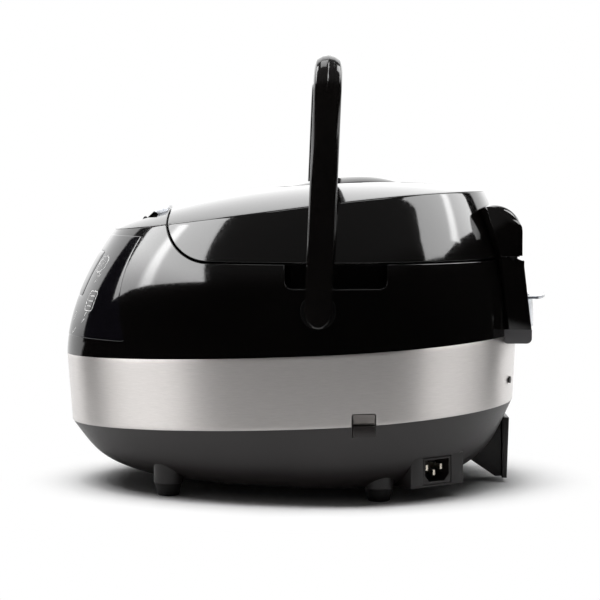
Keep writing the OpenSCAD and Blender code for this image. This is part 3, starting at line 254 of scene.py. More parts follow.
def join(base, other):
    """Adds another object's mesh to the first one and drops the other object."""
    bm = bmesh.new()
    bm.from_mesh(base.data)
    bm.from_mesh(other.data)
    bm.to_mesh(base.data)
    bm.free()
    bpy.data.objects.remove(other, do_unlink=True)


def joined(parts):
    """All parts as one object, the first."""
    for other in parts[1:]:
        join(parts[0], other)
    return parts[0]


def rect(x0, y0, x1, y1):
    return [(x0, y0), (x1, y0), (x1, y1), (x0, y1)]


def extrude(name, outline, axis, low, high):
    """A prism: outline points lie across the axis, in the order of the two other axes."""
    n = len(outline)
    verts = np.concatenate([np.insert(np.array(outline, float), axis, end, axis=1) for end in (low, high)])
    faces = [tuple(range(n))[::-1], tuple(range(n, 2 * n))]
    faces += [(j, (j + 1) % n, n + (j + 1) % n, n + j) for j in range(n)]
    return new_object(name, verts, faces, 35)


def box(name, low, high, width=0.0):
    """A box between two corners; a width rounds its edges."""
    obj = extrude(name, rect(*low[:2], *high[:2]), 2, low[2], high[2])
    return bevel(obj, width) if width else obj


def rounded(points, radii, steps=6):
    """A closed outline with its corners rounded."""
    pts = [np.array(p, float) for p in points]
    radii = np.broadcast_to(radii, len(pts))
    out = []
    for i, p in enumerate(pts):
        a, b = pts[i - 1] - p, pts[(i + 1) % len(pts)] - p
        la, lb = np.linalg.norm(a), np.linalg.norm(b)
        a, b = a / la, b / lb
        half = math.acos(float(np.clip(a @ b, -1, 1))) / 2
        r = radii[i]
        if r <= 0 or half > math.pi / 2 - 0.01:
            out.append(p)
            continue
        reach = min(r / math.tan(half), la * 0.49, lb * 0.49)
        r = reach * math.tan(half)
        mid = p + (a + b) / np.linalg.norm(a + b) * r / math.sin(half)
        start, end = p + a * reach - mid, p + b * reach - mid
        t0, t1 = math.atan2(start[1], start[0]), math.atan2(end[1], end[0])
        turn = (t1 - t0 + math.pi) % (2 * math.pi) - math.pi
        t = t0 + turn * np.arange(steps + 1) / steps
        out += list(mid + r * np.stack([np.cos(t), np.sin(t)], -1))
    return out


def lathe(name, profile, center, n=96):
    """Turns (radius, z) points about an upright axis."""
    t = round_angles(n)
    rows = [np.stack([center[0] + r * np.cos(t), center[1] + r * np.sin(t), np.full(n, float(z))], -1)
            for r, z in profile]
    return loft(name, rows, caps=True, sharp=40)


def spaced(path, step=1.5):
    """Points along a path, at most step apart."""
    path = [np.asarray(p, float) for p in path]
    out = []
    for a, b in zip(path[:-1], path[1:]):
        n = max(1, math.ceil(np.linalg.norm(b - a) / step))
        out += [lerp(a, b, k / n) for k in range(n)]
    return np.array(out + [path[-1]])


def tube(name, path, radius, closed=False, sides=8):
    """A round bead along a path."""
    p = np.asarray(path, float)
    n = len(p)
    t = np.roll(p, -1, 0) - np.roll(p, 1, 0) if closed else np.gradient(p, axis=0)
    t /= np.linalg.norm(t, axis=1)[:, None]
    side = np.cross(t, [0.0, 0.0, 1.0])
    upright = np.linalg.norm(side, axis=1) < 0.2
    side[upright] = np.cross(t[upright], [1.0, 0.0, 0.0])
    side /= np.linalg.norm(side, axis=1)[:, None]
    up = np.cross(side, t)
    rows = [p + radius * (math.cos(b) * side + math.sin(b) * up) for b in round_angles(sides)]
    faces = grid_faces(sides, n, True, closed)
    if not closed:
        faces += [tuple(k * n + end for k in range(sides)) for end in (0, n - 1)]
    return new_object(name, np.concatenate(rows), faces, 50)


# ---- Materials ----

class Tree:
    """Shorthand for adding nodes to a tree and linking them."""

    def __init__(self, tree):
        self.tree = tree

    def add(self, kind, *sources, **values):
        """A new node: sources go to its first inputs, values to inputs or settings by their names."""
        n = self.tree.nodes.new("ShaderNode" + kind)
        for k, v in values.items():
            if k.replace("_", " ") in n.inputs:
                n.inputs[k.replace("_", " ")].default_value = v
            else:
                setattr(n, k, v)
        for socket, source in zip(n.inputs, sources):
            if isinstance(source, float):
                socket.default_value = source
            elif source is not None:
                self.tree.links.new(source, socket)
        return n

    def ramp(self, source, low=0.0, high=1.0, start=0.3, end=0.7, kind="LINEAR"):
        """Maps start to end onto low to high."""
        n = self.add("MapRange", source, From_Min=start, From_Max=end, To_Min=low, To_Max=high,
                     interpolation_type=kind)
        return n.outputs["Result"]

    def step(self, source, start, end, low=0.0, high=1.0):
        return self.ramp(source, low, high, start, end, "SMOOTHSTEP")


class Look(Tree):
    """A new material's tree round its own shader, whose inputs are set by name."""

    def __init__(self, **values):
        self.mat = bpy.data.materials.new("look")
        self.mat.use_nodes = True
        super().__init__(self.mat.node_tree)
        self.shader = self.tree.nodes["Principled BSDF"]
        self.coord = self.add("TexCoord").outputs["Object"]
        for k, v in values.items():
            self.shader.inputs[k.replace("_", " ")].default_value = v

    def link(self, source, name):
        self.tree.links.new(source, self.shader.inputs[name])

    def noise(self, scale, detail, rough=0.5, stretch=(1, 1, 1)):
        place = self.add("Mapping", self.coord, Scale=stretch).outputs["Vector"]
        return self.add("TexNoise", place, Scale=scale, Detail=detail, Roughness=rough).outputs["Fac"]

    def color(self, factor, a, b):
        """Mixes the base colour."""
        m = self.add("Mix", factor, data_type="RGBA")
        m.inputs[6].default_value = (*a, 1)
        m.inputs[7].default_value = (*b, 1)
        self.link(m.outputs[2], "Base Color")

    def bump(self, source, strength, distance):
        b = self.add("Bump", Strength=strength, Distance=distance)
        self.tree.links.new(source, b.inputs["Height"])
        self.link(b.outputs["Normal"], "Normal")


def tinted(color, share, more=0.0):
    return tuple(min(1, c * share + more) for c in color)


def gloss(color, rough=0.05):
    """Polished moulded plastic with faint moulding ripple and a little dust."""
    m = Look(IOR=1.5, Specular_IOR_Level=0.5)
    m.color(m.ramp(m.noise(9, 2), 0, 1, 0.35, 0.65), color, tinted(color, 1.4, 0.0005))
    m.link(m.ramp(m.noise(900, 2, 0.6), rough, rough + 0.092, 0.45, 0.75), "Roughness")
    m.bump(m.noise(55, 1.5), 0.05, 0.0002)
    return m.mat


def satin(color, rough=0.42, grain=0.25, specular=0.45):
    """Moulded plastic with a fine spark-eroded grain."""
    m = Look(IOR=1.48, Specular_IOR_Level=specular)
    fine = m.noise(1700, 2, 0.7)
    m.color(m.ramp(m.noise(14, 3)), color, tinted(color, 1.22, 0.0015))
    m.link(m.ramp(fine, rough - 0.05, rough + 0.08), "Roughness")
    m.bump(fine, grain, 0.00012)
    return m.mat


def brushed(color, rough=0.42):
    """Stainless sheet brushed round the body."""
    m = Look(Metallic=1.0, Anisotropic=0.93, Anisotropic_Rotation=0.25)
    m.link(m.add("Tangent", direction_type="RADIAL", axis="Z").outputs["Tangent"], "Tangent")
    lines = m.noise(1.0, 4, 0.75, (110, 110, 3600))
    long_lines = m.noise(1.0, 2, 0.6, (20, 20, 1600))
    m.color(m.ramp(lines, 0, 1, 0.3, 0.72), tinted(color, 0.84), color)
    m.link(m.ramp(long_lines, rough - 0.03, rough + 0.03), "Roughness")
    m.bump(lines, 0.2, 0.00005)
    return m.mat


def metal(color, rough):
    """Plain metal with a faint mottle."""
    m = Look(Metallic=1.0)
    fine = m.noise(400, 3)
    m.color(m.ramp(fine), tinted(color, 0.85), color)
    m.link(m.ramp(m.noise(60, 3), rough - 0.06, rough + 0.1), "Roughness")
    m.bump(fine, 0.06, 0.0001)
    return m.mat


def clear_plastic(color, rough=0.06):
    """Clear moulded plastic, a little uneven."""
    m = Look(IOR=1.35, Transmission_Weight=0.9, Specular_IOR_Level=0.4)
    m.color(m.noise(30, 2), color, tinted(color, 0.97))
    m.link(m.ramp(m.noise(300, 2), rough, rough + 0.08), "Roughness")
    m.bump(m.noise(80, 2), 0.04, 0.0002)
    return m.mat


BLACK = (0.0016, 0.0013, 0.0012)
MATS = {
    "housing_gloss": gloss(BLACK),
    "lid_gloss": gloss(BLACK),
    "handle_gloss": gloss((0.0042, 0.0036, 0.0034), 0.09),
    "panel_smoked": gloss((0.0028, 0.0025, 0.0038), 0.04),
    "display_smoked": gloss((0.0018, 0.0018, 0.003), 0.03),
    # Painted reflection: the cap's pale bluish colour stands in for a softbox mirrored in its top.
    "button_cap": gloss((0.80, 0.84, 0.92), 0.12),
    "base_satin": satin((0.0108, 0.0086, 0.0085)),
    "inlet_plastic": satin((0.012, 0.009, 0.0085), 0.36),
    "holder_grey": satin((0.065, 0.063, 0.066), 0.4),
    "liner_plastic": satin((0.022, 0.021, 0.022), 0.38),
    "lever_plastic": satin((0.6, 0.6, 0.57), 0.4),
    "bushing_plastic": satin((0.0012, 0.001, 0.001), 0.6, specular=0.08),
    "foot_rubber": satin((0.008, 0.007, 0.007), 0.6, grain=0.5, specular=0.25),
    "seal_silicone": satin((0.62, 0.6, 0.56), 0.5),
    "ceramic_white": satin((0.7, 0.67, 0.6), 0.6),
    "board_green": satin((0.02, 0.1, 0.035), 0.35),
    "wire_red": satin((0.25, 0.02, 0.016), 0.4),
    "band_steel": brushed((0.60, 0.575, 0.56)),
    # Painted shade: a darker copy of the band's steel for the socket sunk in the band.
    "shaded_socket_steel": brushed((0.22, 0.205, 0.195)),
    "plate_aluminium": metal((0.66, 0.65, 0.64), 0.34),
    "plain_steel": metal((0.55, 0.54, 0.53), 0.36),
    "spring_steel": metal((0.55, 0.55, 0.55), 0.25),
    "plated_steel": metal((0.62, 0.62, 0.62), 0.25),
    "brass_terminal": metal((0.66, 0.61, 0.52), 0.28),
    "sensor_cap": metal((0.58, 0.58, 0.57), 0.3),
    "pot_coating": satin((0.045, 0.042, 0.04), 0.4, grain=0.5),
    "cup_clear": clear_plastic((0.86, 0.9, 0.96)),
    "ink_white": satin((0.78, 0.78, 0.77), 0.5),
}
for name, mat in MATS.items():
    mat.name = name
SLOT_OF = {s["node"]: s["material_slot"] for s in frame["record"]["subparts"]}


def paint(obj, *slots):
    obj.data.materials.clear()
    for slot in slots:
        obj.data.materials.append(MATS[slot])


def piece(obj, body, slot, nodes=()):
    """Paints a piece with a slot's material, attaches it to its body and hides the CAD nodes that it stands
    for.
    """
    paint(obj, slot)
    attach(obj, body)
    if nodes:
        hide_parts(*nodes)
    return obj


for node_name, node_obj in frame["nodes"].items():
    paint(node_obj, SLOT_OF[node_name])

# ---- Upper housing ----

EDGE = 0.6
NEAR = 0.006                # how far the skin's own rows stay from the seam's edge, in shares of the skin
SHELL_T, LID_T = 3.0, 2.4
TUCK, SKIRT_H = 1.15, 10.0  # the skirt inside the band
RECESS_Y0, RECESS_Y1, RECESS_Z0, RECESS_R = -16.0, 59.0, 159.0, 131.0
RECESS_MID_Y, RECESS_CUT = (RECESS_Y0 + RECESS_Y1) / 2, (118.0, 170.0)
LINING_R, LINING_Z, LINING_HALF_L = 129.0, 150.0, 52.0
HINGE_ROOM, HINGE_CUT = (-50.5, 149.8, 50.5, 175.0), (164.5, 184.5)


def unit(v):
    return v / np.maximum(1e-9, np.linalg.norm(v, axis=-1))[..., None]


def bend(a, corner, b, t):
    """A curve from a to b that turns towards the corner."""
    return (1 - t) ** 2 * a + 2 * t * (1 - t) * corner + t * t * b


def drawn_in(row, middle_y, share):
    """A copy of a row that is drawn in, in plan, towards a middle."""
    q = row.copy()
    q[:, :2] = lerp(q[:, :2], np.array([0.0, middle_y]), share)
    return q


def boundary(level, step=0.004):
    """The lid seam's curve with its surface normals and its in-surface direction towards the gap."""
    w = cross_w(level)
    p = skin(ANG, w)
    down = unit(skin(ANG, np.minimum(2, w + step)) - skin(ANG, w - step))
    run = unit(np.roll(p, -1, 0) - np.roll(p, 1, 0))
    normal = unit(np.cross(down, run))
    up = normal[:, 2] + 0.3 * np.sign(p[:, 0]) * normal[:, 0]
    normal[up < 0] *= -1
    gap = unit(np.cross(normal, run))
    gap[(gap * down).sum(1) < 0] *= -1
    return w, p, normal, gap


def rim_rows(p, normal, gap, depth, steps=4):
    """A rounded edge that starts on the surface, turns in and goes down by depth."""
    mid = p - EDGE * gap - EDGE * normal
    rows = [mid + EDGE * (math.cos(b) * normal + math.sin(b) * gap)
            for b in np.linspace(0, math.pi / 2, steps + 1)]
    return rows + [p - depth * normal]


def crease_rows(reach=1.5, steps=6):
    """Rows across the rounded crease, with the distances at which they leave the crown and the wall."""
    corner = wall(ANG, 1.0)
    dc = reach / (np.linalg.norm(skin(ANG, 1 - 1e-4) - skin(ANG, 0.99), axis=1) / 0.0099)
    dw = reach / (np.linalg.norm(corner - wall(ANG, 0.99), axis=1) / 0.01)
    a, b = skin(ANG, 1 - dc), skin(ANG, 1 + dw)
    rows = [(bend(a, corner, b, t), 1 + lerp(-dc, dw, t)) for t in np.linspace(0, 1, steps + 1)]
    return dc, dw, rows


def crease_bead(obj, mask, radius=0.5):
    """A fine raised line along the crease, over the columns of the mask."""
    rows = crease_rows()[-1]
    middle = rows[len(rows) // 2][0]
    path = middle - 0.3 * radius * unit(wall(ANG, 1.0) - middle)
    start = int(np.argmax(mask & ~np.roll(mask, 1)))
    path = np.roll(path, -start, axis=0)[:int(mask.sum())]
    join(obj, tube("crease_bead", path, radius))


def deck_z(y):
    """Height of the housing's deck under the lid."""
    r = LID_R + SPLIT
    return np.where(y >= ARC_Y, DECK_Z, ARC_Z - np.sqrt(np.maximum(0, r * r - (y - ARC_Y) ** 2)))


def circle_row(r, z):
    """Points on a circle about the pot's axis, one for each column."""
    p = egg(ANG, BAND_TOP)
    t = np.arctan2(p[:, 1] - POT_Y, p[:, 0])
    return np.stack([r * np.cos(t), POT_Y + r * np.sin(t), np.full(N, z)], -1)


def deck_rows(p, count=10):
    """From the seam's edge over the deck and down to the round pan over the pot."""
    pot = np.array([0, POT_Y])
    q = unit(p[:, :2] - pot) * (PAN_R + SPLIT) + pot
    r = LID_R + SPLIT
    f0 = np.arctan2(p[:, 2] - ARC_Z, p[:, 1] - ARC_Y)
    f0 = np.where(f0 > 0, f0 - 2 * math.pi, f0)
    f1 = np.arctan2(deck_z(q[:, 1]) - ARC_Z, q[:, 1] - ARC_Y)
    on_arc = (p[:, 1] < ARC_Y) & (q[:, 1] < ARC_Y)
    span = q[:, 1] - p[:, 1]
    long = np.abs(span) > 0.5
    rows = []
    for t in np.linspace(0, 1, count + 1)[1:]:
        xy = lerp(p[:, :2], q, t)
        f = lerp(f0, f1, t)
        y = np.where(on_arc, ARC_Y + r * np.cos(f), xy[:, 1])
        z = np.where(on_arc, ARC_Z + r * np.sin(f), deck_z(xy[:, 1]))
        k = np.where(long, (y - p[:, 1]) / np.where(long, span, 1), t)
        x = np.where(on_arc, lerp(p[:, 0], q[:, 0], np.clip(k, 0, 1)), xy[:, 0])
        rows.append(np.stack([x, y, z], -1))
    rows.append(np.column_stack([q, np.full(N, DECK_Z)]))
    return rows


def under_rim(e, drop):
    """A plan outline at a depth under the band's sloping rim."""
    return np.column_stack([e, rim_z(e[:, 1]) - drop])


def build_housing():
    """A ring of rows: over the deck, round the seam's edge, down the wall and back up inside."""
    w, p, normal, gap = boundary(-SPLIT)
    low = p - SHELL_T * normal
    rows = [circle_row(RIM_HOLE_R, DECK_Z - SHELL_T), circle_row(RIM_HOLE_R, DECK_Z)]
    rows += [*deck_rows(low)[::-1], low]
    rows += rim_rows(p, normal, -gap, SHELL_T)[:-1][::-1]
    dc, dw, crease = crease_rows()
    on_crown = w < 1 - dc
    start = np.where(on_crown, np.minimum(w + NEAR, 1 - dc), w)
    for k in np.linspace(0, 1, 9):
        rows.append(skin(ANG, np.where(on_crown, lerp(start, 1 - dc, k), w + NEAR)))
    for point, level in crease[1:-1]:
        rows.append(np.where((w < level)[:, None], point, skin(ANG, w + NEAR)))
    first = np.where(w < 1 + dw, 1 + dw, w + NEAR)
    rows += [skin(ANG, lerp(first, 2.0, k)) for k in np.linspace(0, 1, 25)]
    for d, drop in ((TUCK, 0.0), (TUCK, SKIRT_H), (TUCK + SHELL_T, SKIRT_H)):
        rows.append(under_rim(egg(ANG, BAND_TOP, d), drop))
    # The inside follows the wall, and a round lining takes over beside the two recesses.
    lining = circle_row(LINING_R, LINING_Z)
    beside_recess = (np.abs(lining[:, 1] - RECESS_MID_Y) < LINING_HALF_L)[:, None]
    rows += [drawn_in(wall(ANG, s), 15.0, 0.028) for s in (0.12, 0.3, 0.45)]
    rows[-1] = np.where(beside_recess, lining, rows[-1])
    rows += [circle_row(LINING_R, LINING_Z + 2), circle_row(LINING_R, DECK_Z - SHELL_T)]
    return loft("housing_shell", rows, wrap=True)


shell = build_housing()
shell_mesh = bmesh.new()
shell_mesh.from_mesh(shell.data)
SHELL_TREE = BVHTree.FromBMesh(shell_mesh)
shell_mesh.free()


def hit(axis, sign, u, v):
    """The housing's surface point seen along one axis, with u and v on the two others, in mm."""
    start = np.insert((u * MM, v * MM), axis, sign * 0.5)
    way = np.insert((0.0, 0.0), axis, -sign)
    return np.array(SHELL_TREE.ray_cast(Vector(start), Vector(way))[0]) / MM


def front(x, z, step=0.8):
    """The housing's front at x and z, with a smooth normal."""
    across = hit(1, -1, x + step, z) - hit(1, -1, x - step, z)
    n = np.cross(across, hit(1, -1, x, z + step) - hit(1, -1, x, z - step))
    n /= np.linalg.norm(n)
    return hit(1, -1, x, z), n if n[1] < 0 else -n


BUTTON_Y, BUTTON_HALF, BUTTON_L, BUTTON_TOP = -116.3, 28.0, 20.0, 218.7
NOTCH_X, NOTCH_Y, NOTCH_CUT = BUTTON_HALF + 0.4, BUTTON_L / 2 + 0.4, (201.5, 240.0)
recess = rounded(rect(RECESS_Y0, RECESS_Z0, RECESS_Y1, SEAM_Z + 12), [6, 6, 0, 0])
notch = rounded(rect(-NOTCH_X, BUTTON_Y - NOTCH_Y, NOTCH_X, BUTTON_Y + NOTCH_Y), 3.8)
cutters = [extrude("cutter", notch, 2, *NOTCH_CUT), extrude("cutter", rect(*HINGE_ROOM), 2, *HINGE_CUT)]
for side in (1, -1):
    pocket = extrude("cutter", recess, 0, *sorted(side * x for x in RECESS_CUT))
    cut(pocket, [lathe("core", [(RECESS_R, 120), (RECESS_R, 220)], (0.0, POT_Y), 192)])
    cutters.append(pocket)
cut(shell, cutters)
shade(shell, 38)


def rim_bead(axis, sign, path, radius=0.35):
    """Rounds the edge that a recess leaves in the housing, along a path seen along the axis."""
    sunk = np.zeros(3)
    sunk[axis] = sign * radius * 0.6
    join(shell, tube("rim", [hit(axis, sign, u, v) - sunk for u, v in spaced(path)], radius))


rim_top = SEAM_Z - 1.5
for side in (1, -1):
    rim_bead(0, side, [(RECESS_Y0, rim_top), *recess[:-2], (RECESS_Y1, rim_top)])
rim_bead(2, 1, [*notch, notch[0]])
crease_bead(shell, cross_w(-SPLIT) < 0.985)
piece(shell, "body", "housing_gloss", ["upper_housing"])

# ---- Lid ----

RECESS_DEPTH, RECESS_RUN = 6.5, 2.6
RECESS_FLOOR = float(top_z(0.0, VALVE_Y)) - RECESS_DEPTH


def build_lid():
    """From the middle of the valve's recess over crown and crease to the seam, and back inside."""
    w, p, normal, gap = boundary(SPLIT)
    c = egg(ANG, CREASE) - np.array(VALVE_C)
    t_oval = ((np.abs(c) / RECESS) ** OVAL_POWER).sum(1) ** (-1 / OVAL_POWER)
    rise = RECESS_RUN / np.linalg.norm(c, axis=1)
    rows = []

    def flat(t, z):
        q = crown(ANG, t)
        q[:, 2] = z
        rows.append(q)

    for k in (0.02, 0.25, 0.5, 0.75):
        flat(t_oval * k, RECESS_FLOOR)
    for u in np.linspace(0, 1, 9):
        t = t_oval + (u - 0.75) * rise
        flat(t, lerp(RECESS_FLOOR, top_z(*crown(ANG, t)[:, :2].T), u * u * (3 - 2 * u)))
    dc, dw, crease = crease_rows()
    last = w - NEAR
    first, end = t_oval + 0.25 * rise, np.where(w < 1 - dc, last, 1 - dc)
    rows += [skin(ANG, lerp(first, end, k)) for k in np.linspace(0, 1, 22)[1:]]
    for point, level in crease[1:-1]:
        rows.append(np.where((last > level)[:, None], point, skin(ANG, last)))
    first = np.where(w > 1 + dw, 1 + dw, last)
    rows += [skin(ANG, lerp(first, last, k)) for k in np.linspace(0, 1, 15)]
    outer = rows[::2][::-1]
    rows += rim_rows(p, normal, gap, LID_T)
    # The inner skin follows the outer one, further in by the lid's wall.
    for row in outer:
        inner = drawn_in(row, 20.0, 0.022)
        inner[:, 2] = np.maximum(inner[:, 2] - LID_T, SEAM_Z + SPLIT)
        rows.append(inner)
    return loft("lid_shell", rows, caps=True)


lid = build_lid()
shade(lid, 38)
crease_bead(lid, cross_w(SPLIT) > 1.03)
piece(lid, "lid", "lid_gloss", ["lid_cover"])

# ---- Band and base ----

BAND_EDGE = ((BAND_T, 0.0), (0.55, 0.0), (0.16, 0.12), (0.0, 0.5))      # how far in, and how far down


def band_row(d, drop):
    """A row of the band's side, moved in by d, at a depth under the rim."""
    return under_rim(lerp(egg(ANG, BAND_TOP, d), egg(ANG, BAND_LOW, d), drop / BAND_H), drop)


band_rows = [band_row(d, drop) for d, drop in BAND_EDGE]
band_rows += [band_row(0.0, drop) for drop in np.linspace(3, BAND_H - 3, 9)]
band_rows += [band_row(d, BAND_H - drop) for d, drop in BAND_EDGE[::-1]]
band = loft("band_sheet", band_rows, wrap=True)
SOCKET_Y, SOCKET_W = 41.6, 17.0
SOCKET_Z = rim_z(SOCKET_Y) - BAND_H
SOCKET_X = float(half_at(SOCKET_Y, BAND_LOW))
dent_half = SOCKET_W / 2 + 0.4
dent = rect(SOCKET_Y - dent_half, SOCKET_Z - 12, SOCKET_Y + dent_half, SOCKET_Z + 9.2)
cut(band, [extrude("cutter", rounded(dent, [0, 0, 1.6, 1.6]), 0, 120, 160)])
shade(band, 38)
piece(band, "body", "band_steel", ["steel_band"])


def bowl_row(v, d=0.0, floor_z=BASE_Z):
    """A row of the bowl, from under the band at v = 0 to the floor at v = 1, moved in by d."""
    r, f = egg(ANG, BAND_LOW, BAND_T / 2 + d), egg(ANG, FLOOR, d)
    z = lerp(rim_z(r[:, 1]) - BAND_H, floor_z, v)
    return np.column_stack([lerp(r, f, 0.52 * v + 0.48 * v ** 5), z])


BASE_T = 2.5
FEET = [(side * x, y) for side in (1, -1) for x, y in ((76.0, -104.0), (103.0, 54.0))]
POSTS = [(x, y) for x in (55.1, -55.1) for y in (98.6, -58.6)]
POST_R, WELL_R, BOSS_R = 5.0, 3.65, 11.0


def build_bowl():
    """From the middle of the inner floor up, over the ledge that carries the housing, and down outside."""
    inner_z = BASE_Z + BASE_T
    rows = [bowl_row(1.0, d, inner_z) for d in (85.0, 45.0, 6.0)]
    rows += [bowl_row(v, BASE_T, inner_z) for v in (0.85, 0.5, 0.0)]
    ledge = ((TUCK + BASE_T, BAND_H), (TUCK + BASE_T, SKIRT_H), (TUCK, SKIRT_H), (TUCK, BAND_H))
    rows += [band_row(d, drop) for d, drop in ledge]
    rows += [bowl_row(v) for v in np.concatenate([[0.0, 0.01, 0.03], np.linspace(0.06, 0.96, 26)])]
    a, b, c = bowl_row(0.965), bowl_row(1.0), bowl_row(1.0, 4.0)
    rows += [bend(a, b, c, u) for u in np.linspace(0, 1, 6)]
    rows += [bowl_row(1.0, d) for d in (30.0, 60.0, 85.0)]
    return loft("base_bowl", rows, caps=True)


INLET, INLET_TURN = (96.0, 98.0, 21.5), math.radians(38)
INLET_FRAME = Matrix.Translation(Vector(INLET) * MM) @ Matrix.Rotation(INLET_TURN - math.pi / 2, 4, "Z")
INLET_W, INLET_H, INLET_BACK, INLET_ROOM = 26.0, 11.75, -30.0, (14.05, 19.0, 10.3)
BROW_H, BROW_BACK = 3.5, -5


def at_inlet(obj):
    """Moves a form from the inlet's own axes, with +Y out of its face, to its place."""
    obj.data.transform(INLET_FRAME)
    return obj


def inlet_surround():
    """The block round the socket, with the brow over it."""
    top = INLET_H + BROW_H
    side = [(INLET_BACK, -INLET_H), (0, -INLET_H), (0, INLET_H), (BROW_BACK, top), (INLET_BACK, top)]
    block = extrude("surround", side, 0, -INLET_W, INLET_W)
    w, depth, h = INLET_ROOM
    cut(block, [box("cutter", (-w, -depth, -h), (w, 5, h))])
    return at_inlet(bevel(block, 0.5))


def build_base():
    """The bowl with its inlet, posts and foot bosses."""
    obj = build_bowl()
    half_w = SOCKET_W / 2
    cutters = [at_inlet(box("cutter", (0.5 - INLET_W, INLET_BACK + 2, 0.5 - INLET_H),
                            (INLET_W - 0.5, 10, INLET_H - 0.5))),
               box("cutter", (SOCKET_X - 6, SOCKET_Y - half_w, SOCKET_Z - 8.5),
                   (SOCKET_X + 10, SOCKET_Y + half_w, SOCKET_Z + 9))]
    cutters += [lathe("cutter", [(WELL_R, BASE_Z - 5), (WELL_R, BASE_Z + 5)], at) for at in POSTS]
    cut(obj, cutters)
    shade(obj, 38)
    join(obj, inlet_surround())
    post = [(WELL_R, BASE_Z + 5), (WELL_R, BASE_Z + 0.1), (POST_R, BASE_Z + 0.1), (POST_R, 50)]
    for at in POSTS:
        join(obj, lathe("post", post, at, 48))
    boss = [(BOSS_R - 0.5, BASE_Z - 0.05), (BOSS_R, BASE_Z + 0.4), (BOSS_R, BASE_Z + 16)]
    for at in FEET:
        join(obj, lathe("boss", boss, at))
    return obj


piece(build_base(), "body", "base_satin", ["base_shell"])

FOOT = [(6.9, 0), (7.5, 0.12), (7.95, 0.5), (8.15, 1.1), (9.93, BASE_Z - 0.6), (9.9, BASE_Z)]
feet = joined([lathe("rubber_feet_form", FOOT, at) for at in FEET])
piece(feet, "body", "foot_rubber", ["rubber_feet"])

# ---- Pieces that follow the CAD's own edges ----


def dressed(node, body, width):
    """A copy of a CAD node's mesh with its edges rounded."""
    mesh = frame["nodes"][node].data.copy()
    bm = bmesh.new()
    bm.from_mesh(mesh)
    bmesh.ops.remove_doubles(bm, verts=bm.verts, dist=2e-6)
    bmesh.ops.dissolve_limit(bm, angle_limit=math.radians(0.6), verts=bm.verts, edges=bm.edges)
    bm.to_mesh(mesh)
    bm.free()
    obj = bevel(add_object(node + "_form", mesh), width, 32)
    return piece(obj, body, SLOT_OF[node], [node])


for node, body, width in (
        ("hinge_housing", "body", 0.6), ("condensate_holder", "body", 0.5), ("rear_leg", "body", 0.5),
        ("handle_bushings", "body", 0.3), ("power_inlet", "body", 0.3), ("condensate_cup", "cup", 0.25)):
    dressed(node, body, width)

# The holder's socket is steel where it lies in the band and dark plastic in the base. Its steel is a darker
# copy of the band's steel: painted shade of the recess that it sits in.
BAND_FOOT_Z = 57.8 * MM
socket = dressed("holder_socket", "body", 0.3)
paint(socket, "shaded_socket_steel", "inlet_plastic")
for face in socket.data.polygons:
    face.material_index = int(face.center.z < BAND_FOOT_Z)

COVER_HALF_W, COVER_R, COVER_Y, COVER_Z = 58.0, 21.0, 143.5, 197.5
COVER_SLACK, COVER_FOOT = 0.02, COVER_Z - 30
COVER_LEAN, COVER_LEAN_Z = 0.15, 211.0
# Sections of the hinge cover's end: how far in, how far its arch falls, and where its front edge is.
COVER_ENDS = ((-0.1, 3.0, 134.0), (0.35, 2.6, 133.2), (2.5, 0.8, 130.5), (5, 0.2, 127.0), (7.5, 0.0, 120.0))


def cover_row(x, fall, front_y):
    """The hinge cover's side outline at x, a little larger than the cover itself."""
    turn = np.linspace(0, 180, 49)
    full = COVER_R + COVER_SLACK
    r = full - fall * np.sin(np.radians(np.clip((turn - 12) / 100, 0, 1) * 180))
    arc = np.stack([COVER_Y + r * np.cos(np.radians(turn)), COVER_Z + r * np.sin(np.radians(turn))], -1)
    outline = np.vstack([[COVER_Y + full, COVER_FOOT], arc, [COVER_Y - full, COVER_FOOT]])
    leant = front_y + COVER_LEAN * np.maximum(0, COVER_LEAN_Z - outline[:, 1])
    outline[:, 0] = np.maximum(outline[:, 0], leant)
    return np.insert(outline, 0, x, axis=1)


cover = dressed("hinge_cover", "lid", 0.7)
arch_rows = [cover_row(COVER_HALF_W - d, fall, front_y) for d, fall, front_y in COVER_ENDS]
arch_rows += [row * (-1, 1, 1) for row in arch_rows[::-1]]
cut(cover, [loft("arch", arch_rows, caps=True)], "INTERSECT")
shade(cover, 38)

# ---- Carrying handle ----

PIVOT_Y, PIVOT_Z, LEAN = 8.5, 143.5, math.radians(2.4)
ARM_IN, ARM_OUT, ARM_HALF, RISE, GRIP = 147.0, 155.0, 10.0, 184.5, 12.5
OUT_R, IN_R = 26.0, 18.0
END_LEN, END_R = 12.0, 1.4
WAIST_Z, WAIST_L = 122.0, 20.0
ARM_EDGE, GRIP_EDGE = (1.5, 2.4), (1.4, 3.0, 3.6)     # the chamfer's width and depth, and the crown's height


def leaned(p):
    """Points of the upright handle, turned to where it rests."""
    c, s = math.cos(LEAN), math.sin(LEAN)
    return np.stack([p[:, 0], PIVOT_Y + p[:, 1] * c + p[:, 2] * s, PIVOT_Z + p[:, 2] * c - p[:, 1] * s], -1)


def handle_section(half, wide, chamfer, depth, crown_in, ridge=0.25):
    """Half of a ring across the handle, as (outward, y): chamfered edges and a fine parting ridge."""
    face, top = wide - chamfer, half - crown_in
    outer = [(half + ridge, 0.0), (half, 0.35), (half - crown_in * 0.25, face * 0.5),
             (half - crown_in * 0.85, face - 0.5), (top - 0.12, face), (top - 0.5, face + 0.25),
             (top - depth, wide - 0.12), (top - depth - 0.8, wide)]
    return outer + [(1.6 - half, wide), (0.45 - half, wide - 0.45), (-half, wide - 1.6), (-half, wide * 0.5),
                    (-half, 0.0)]


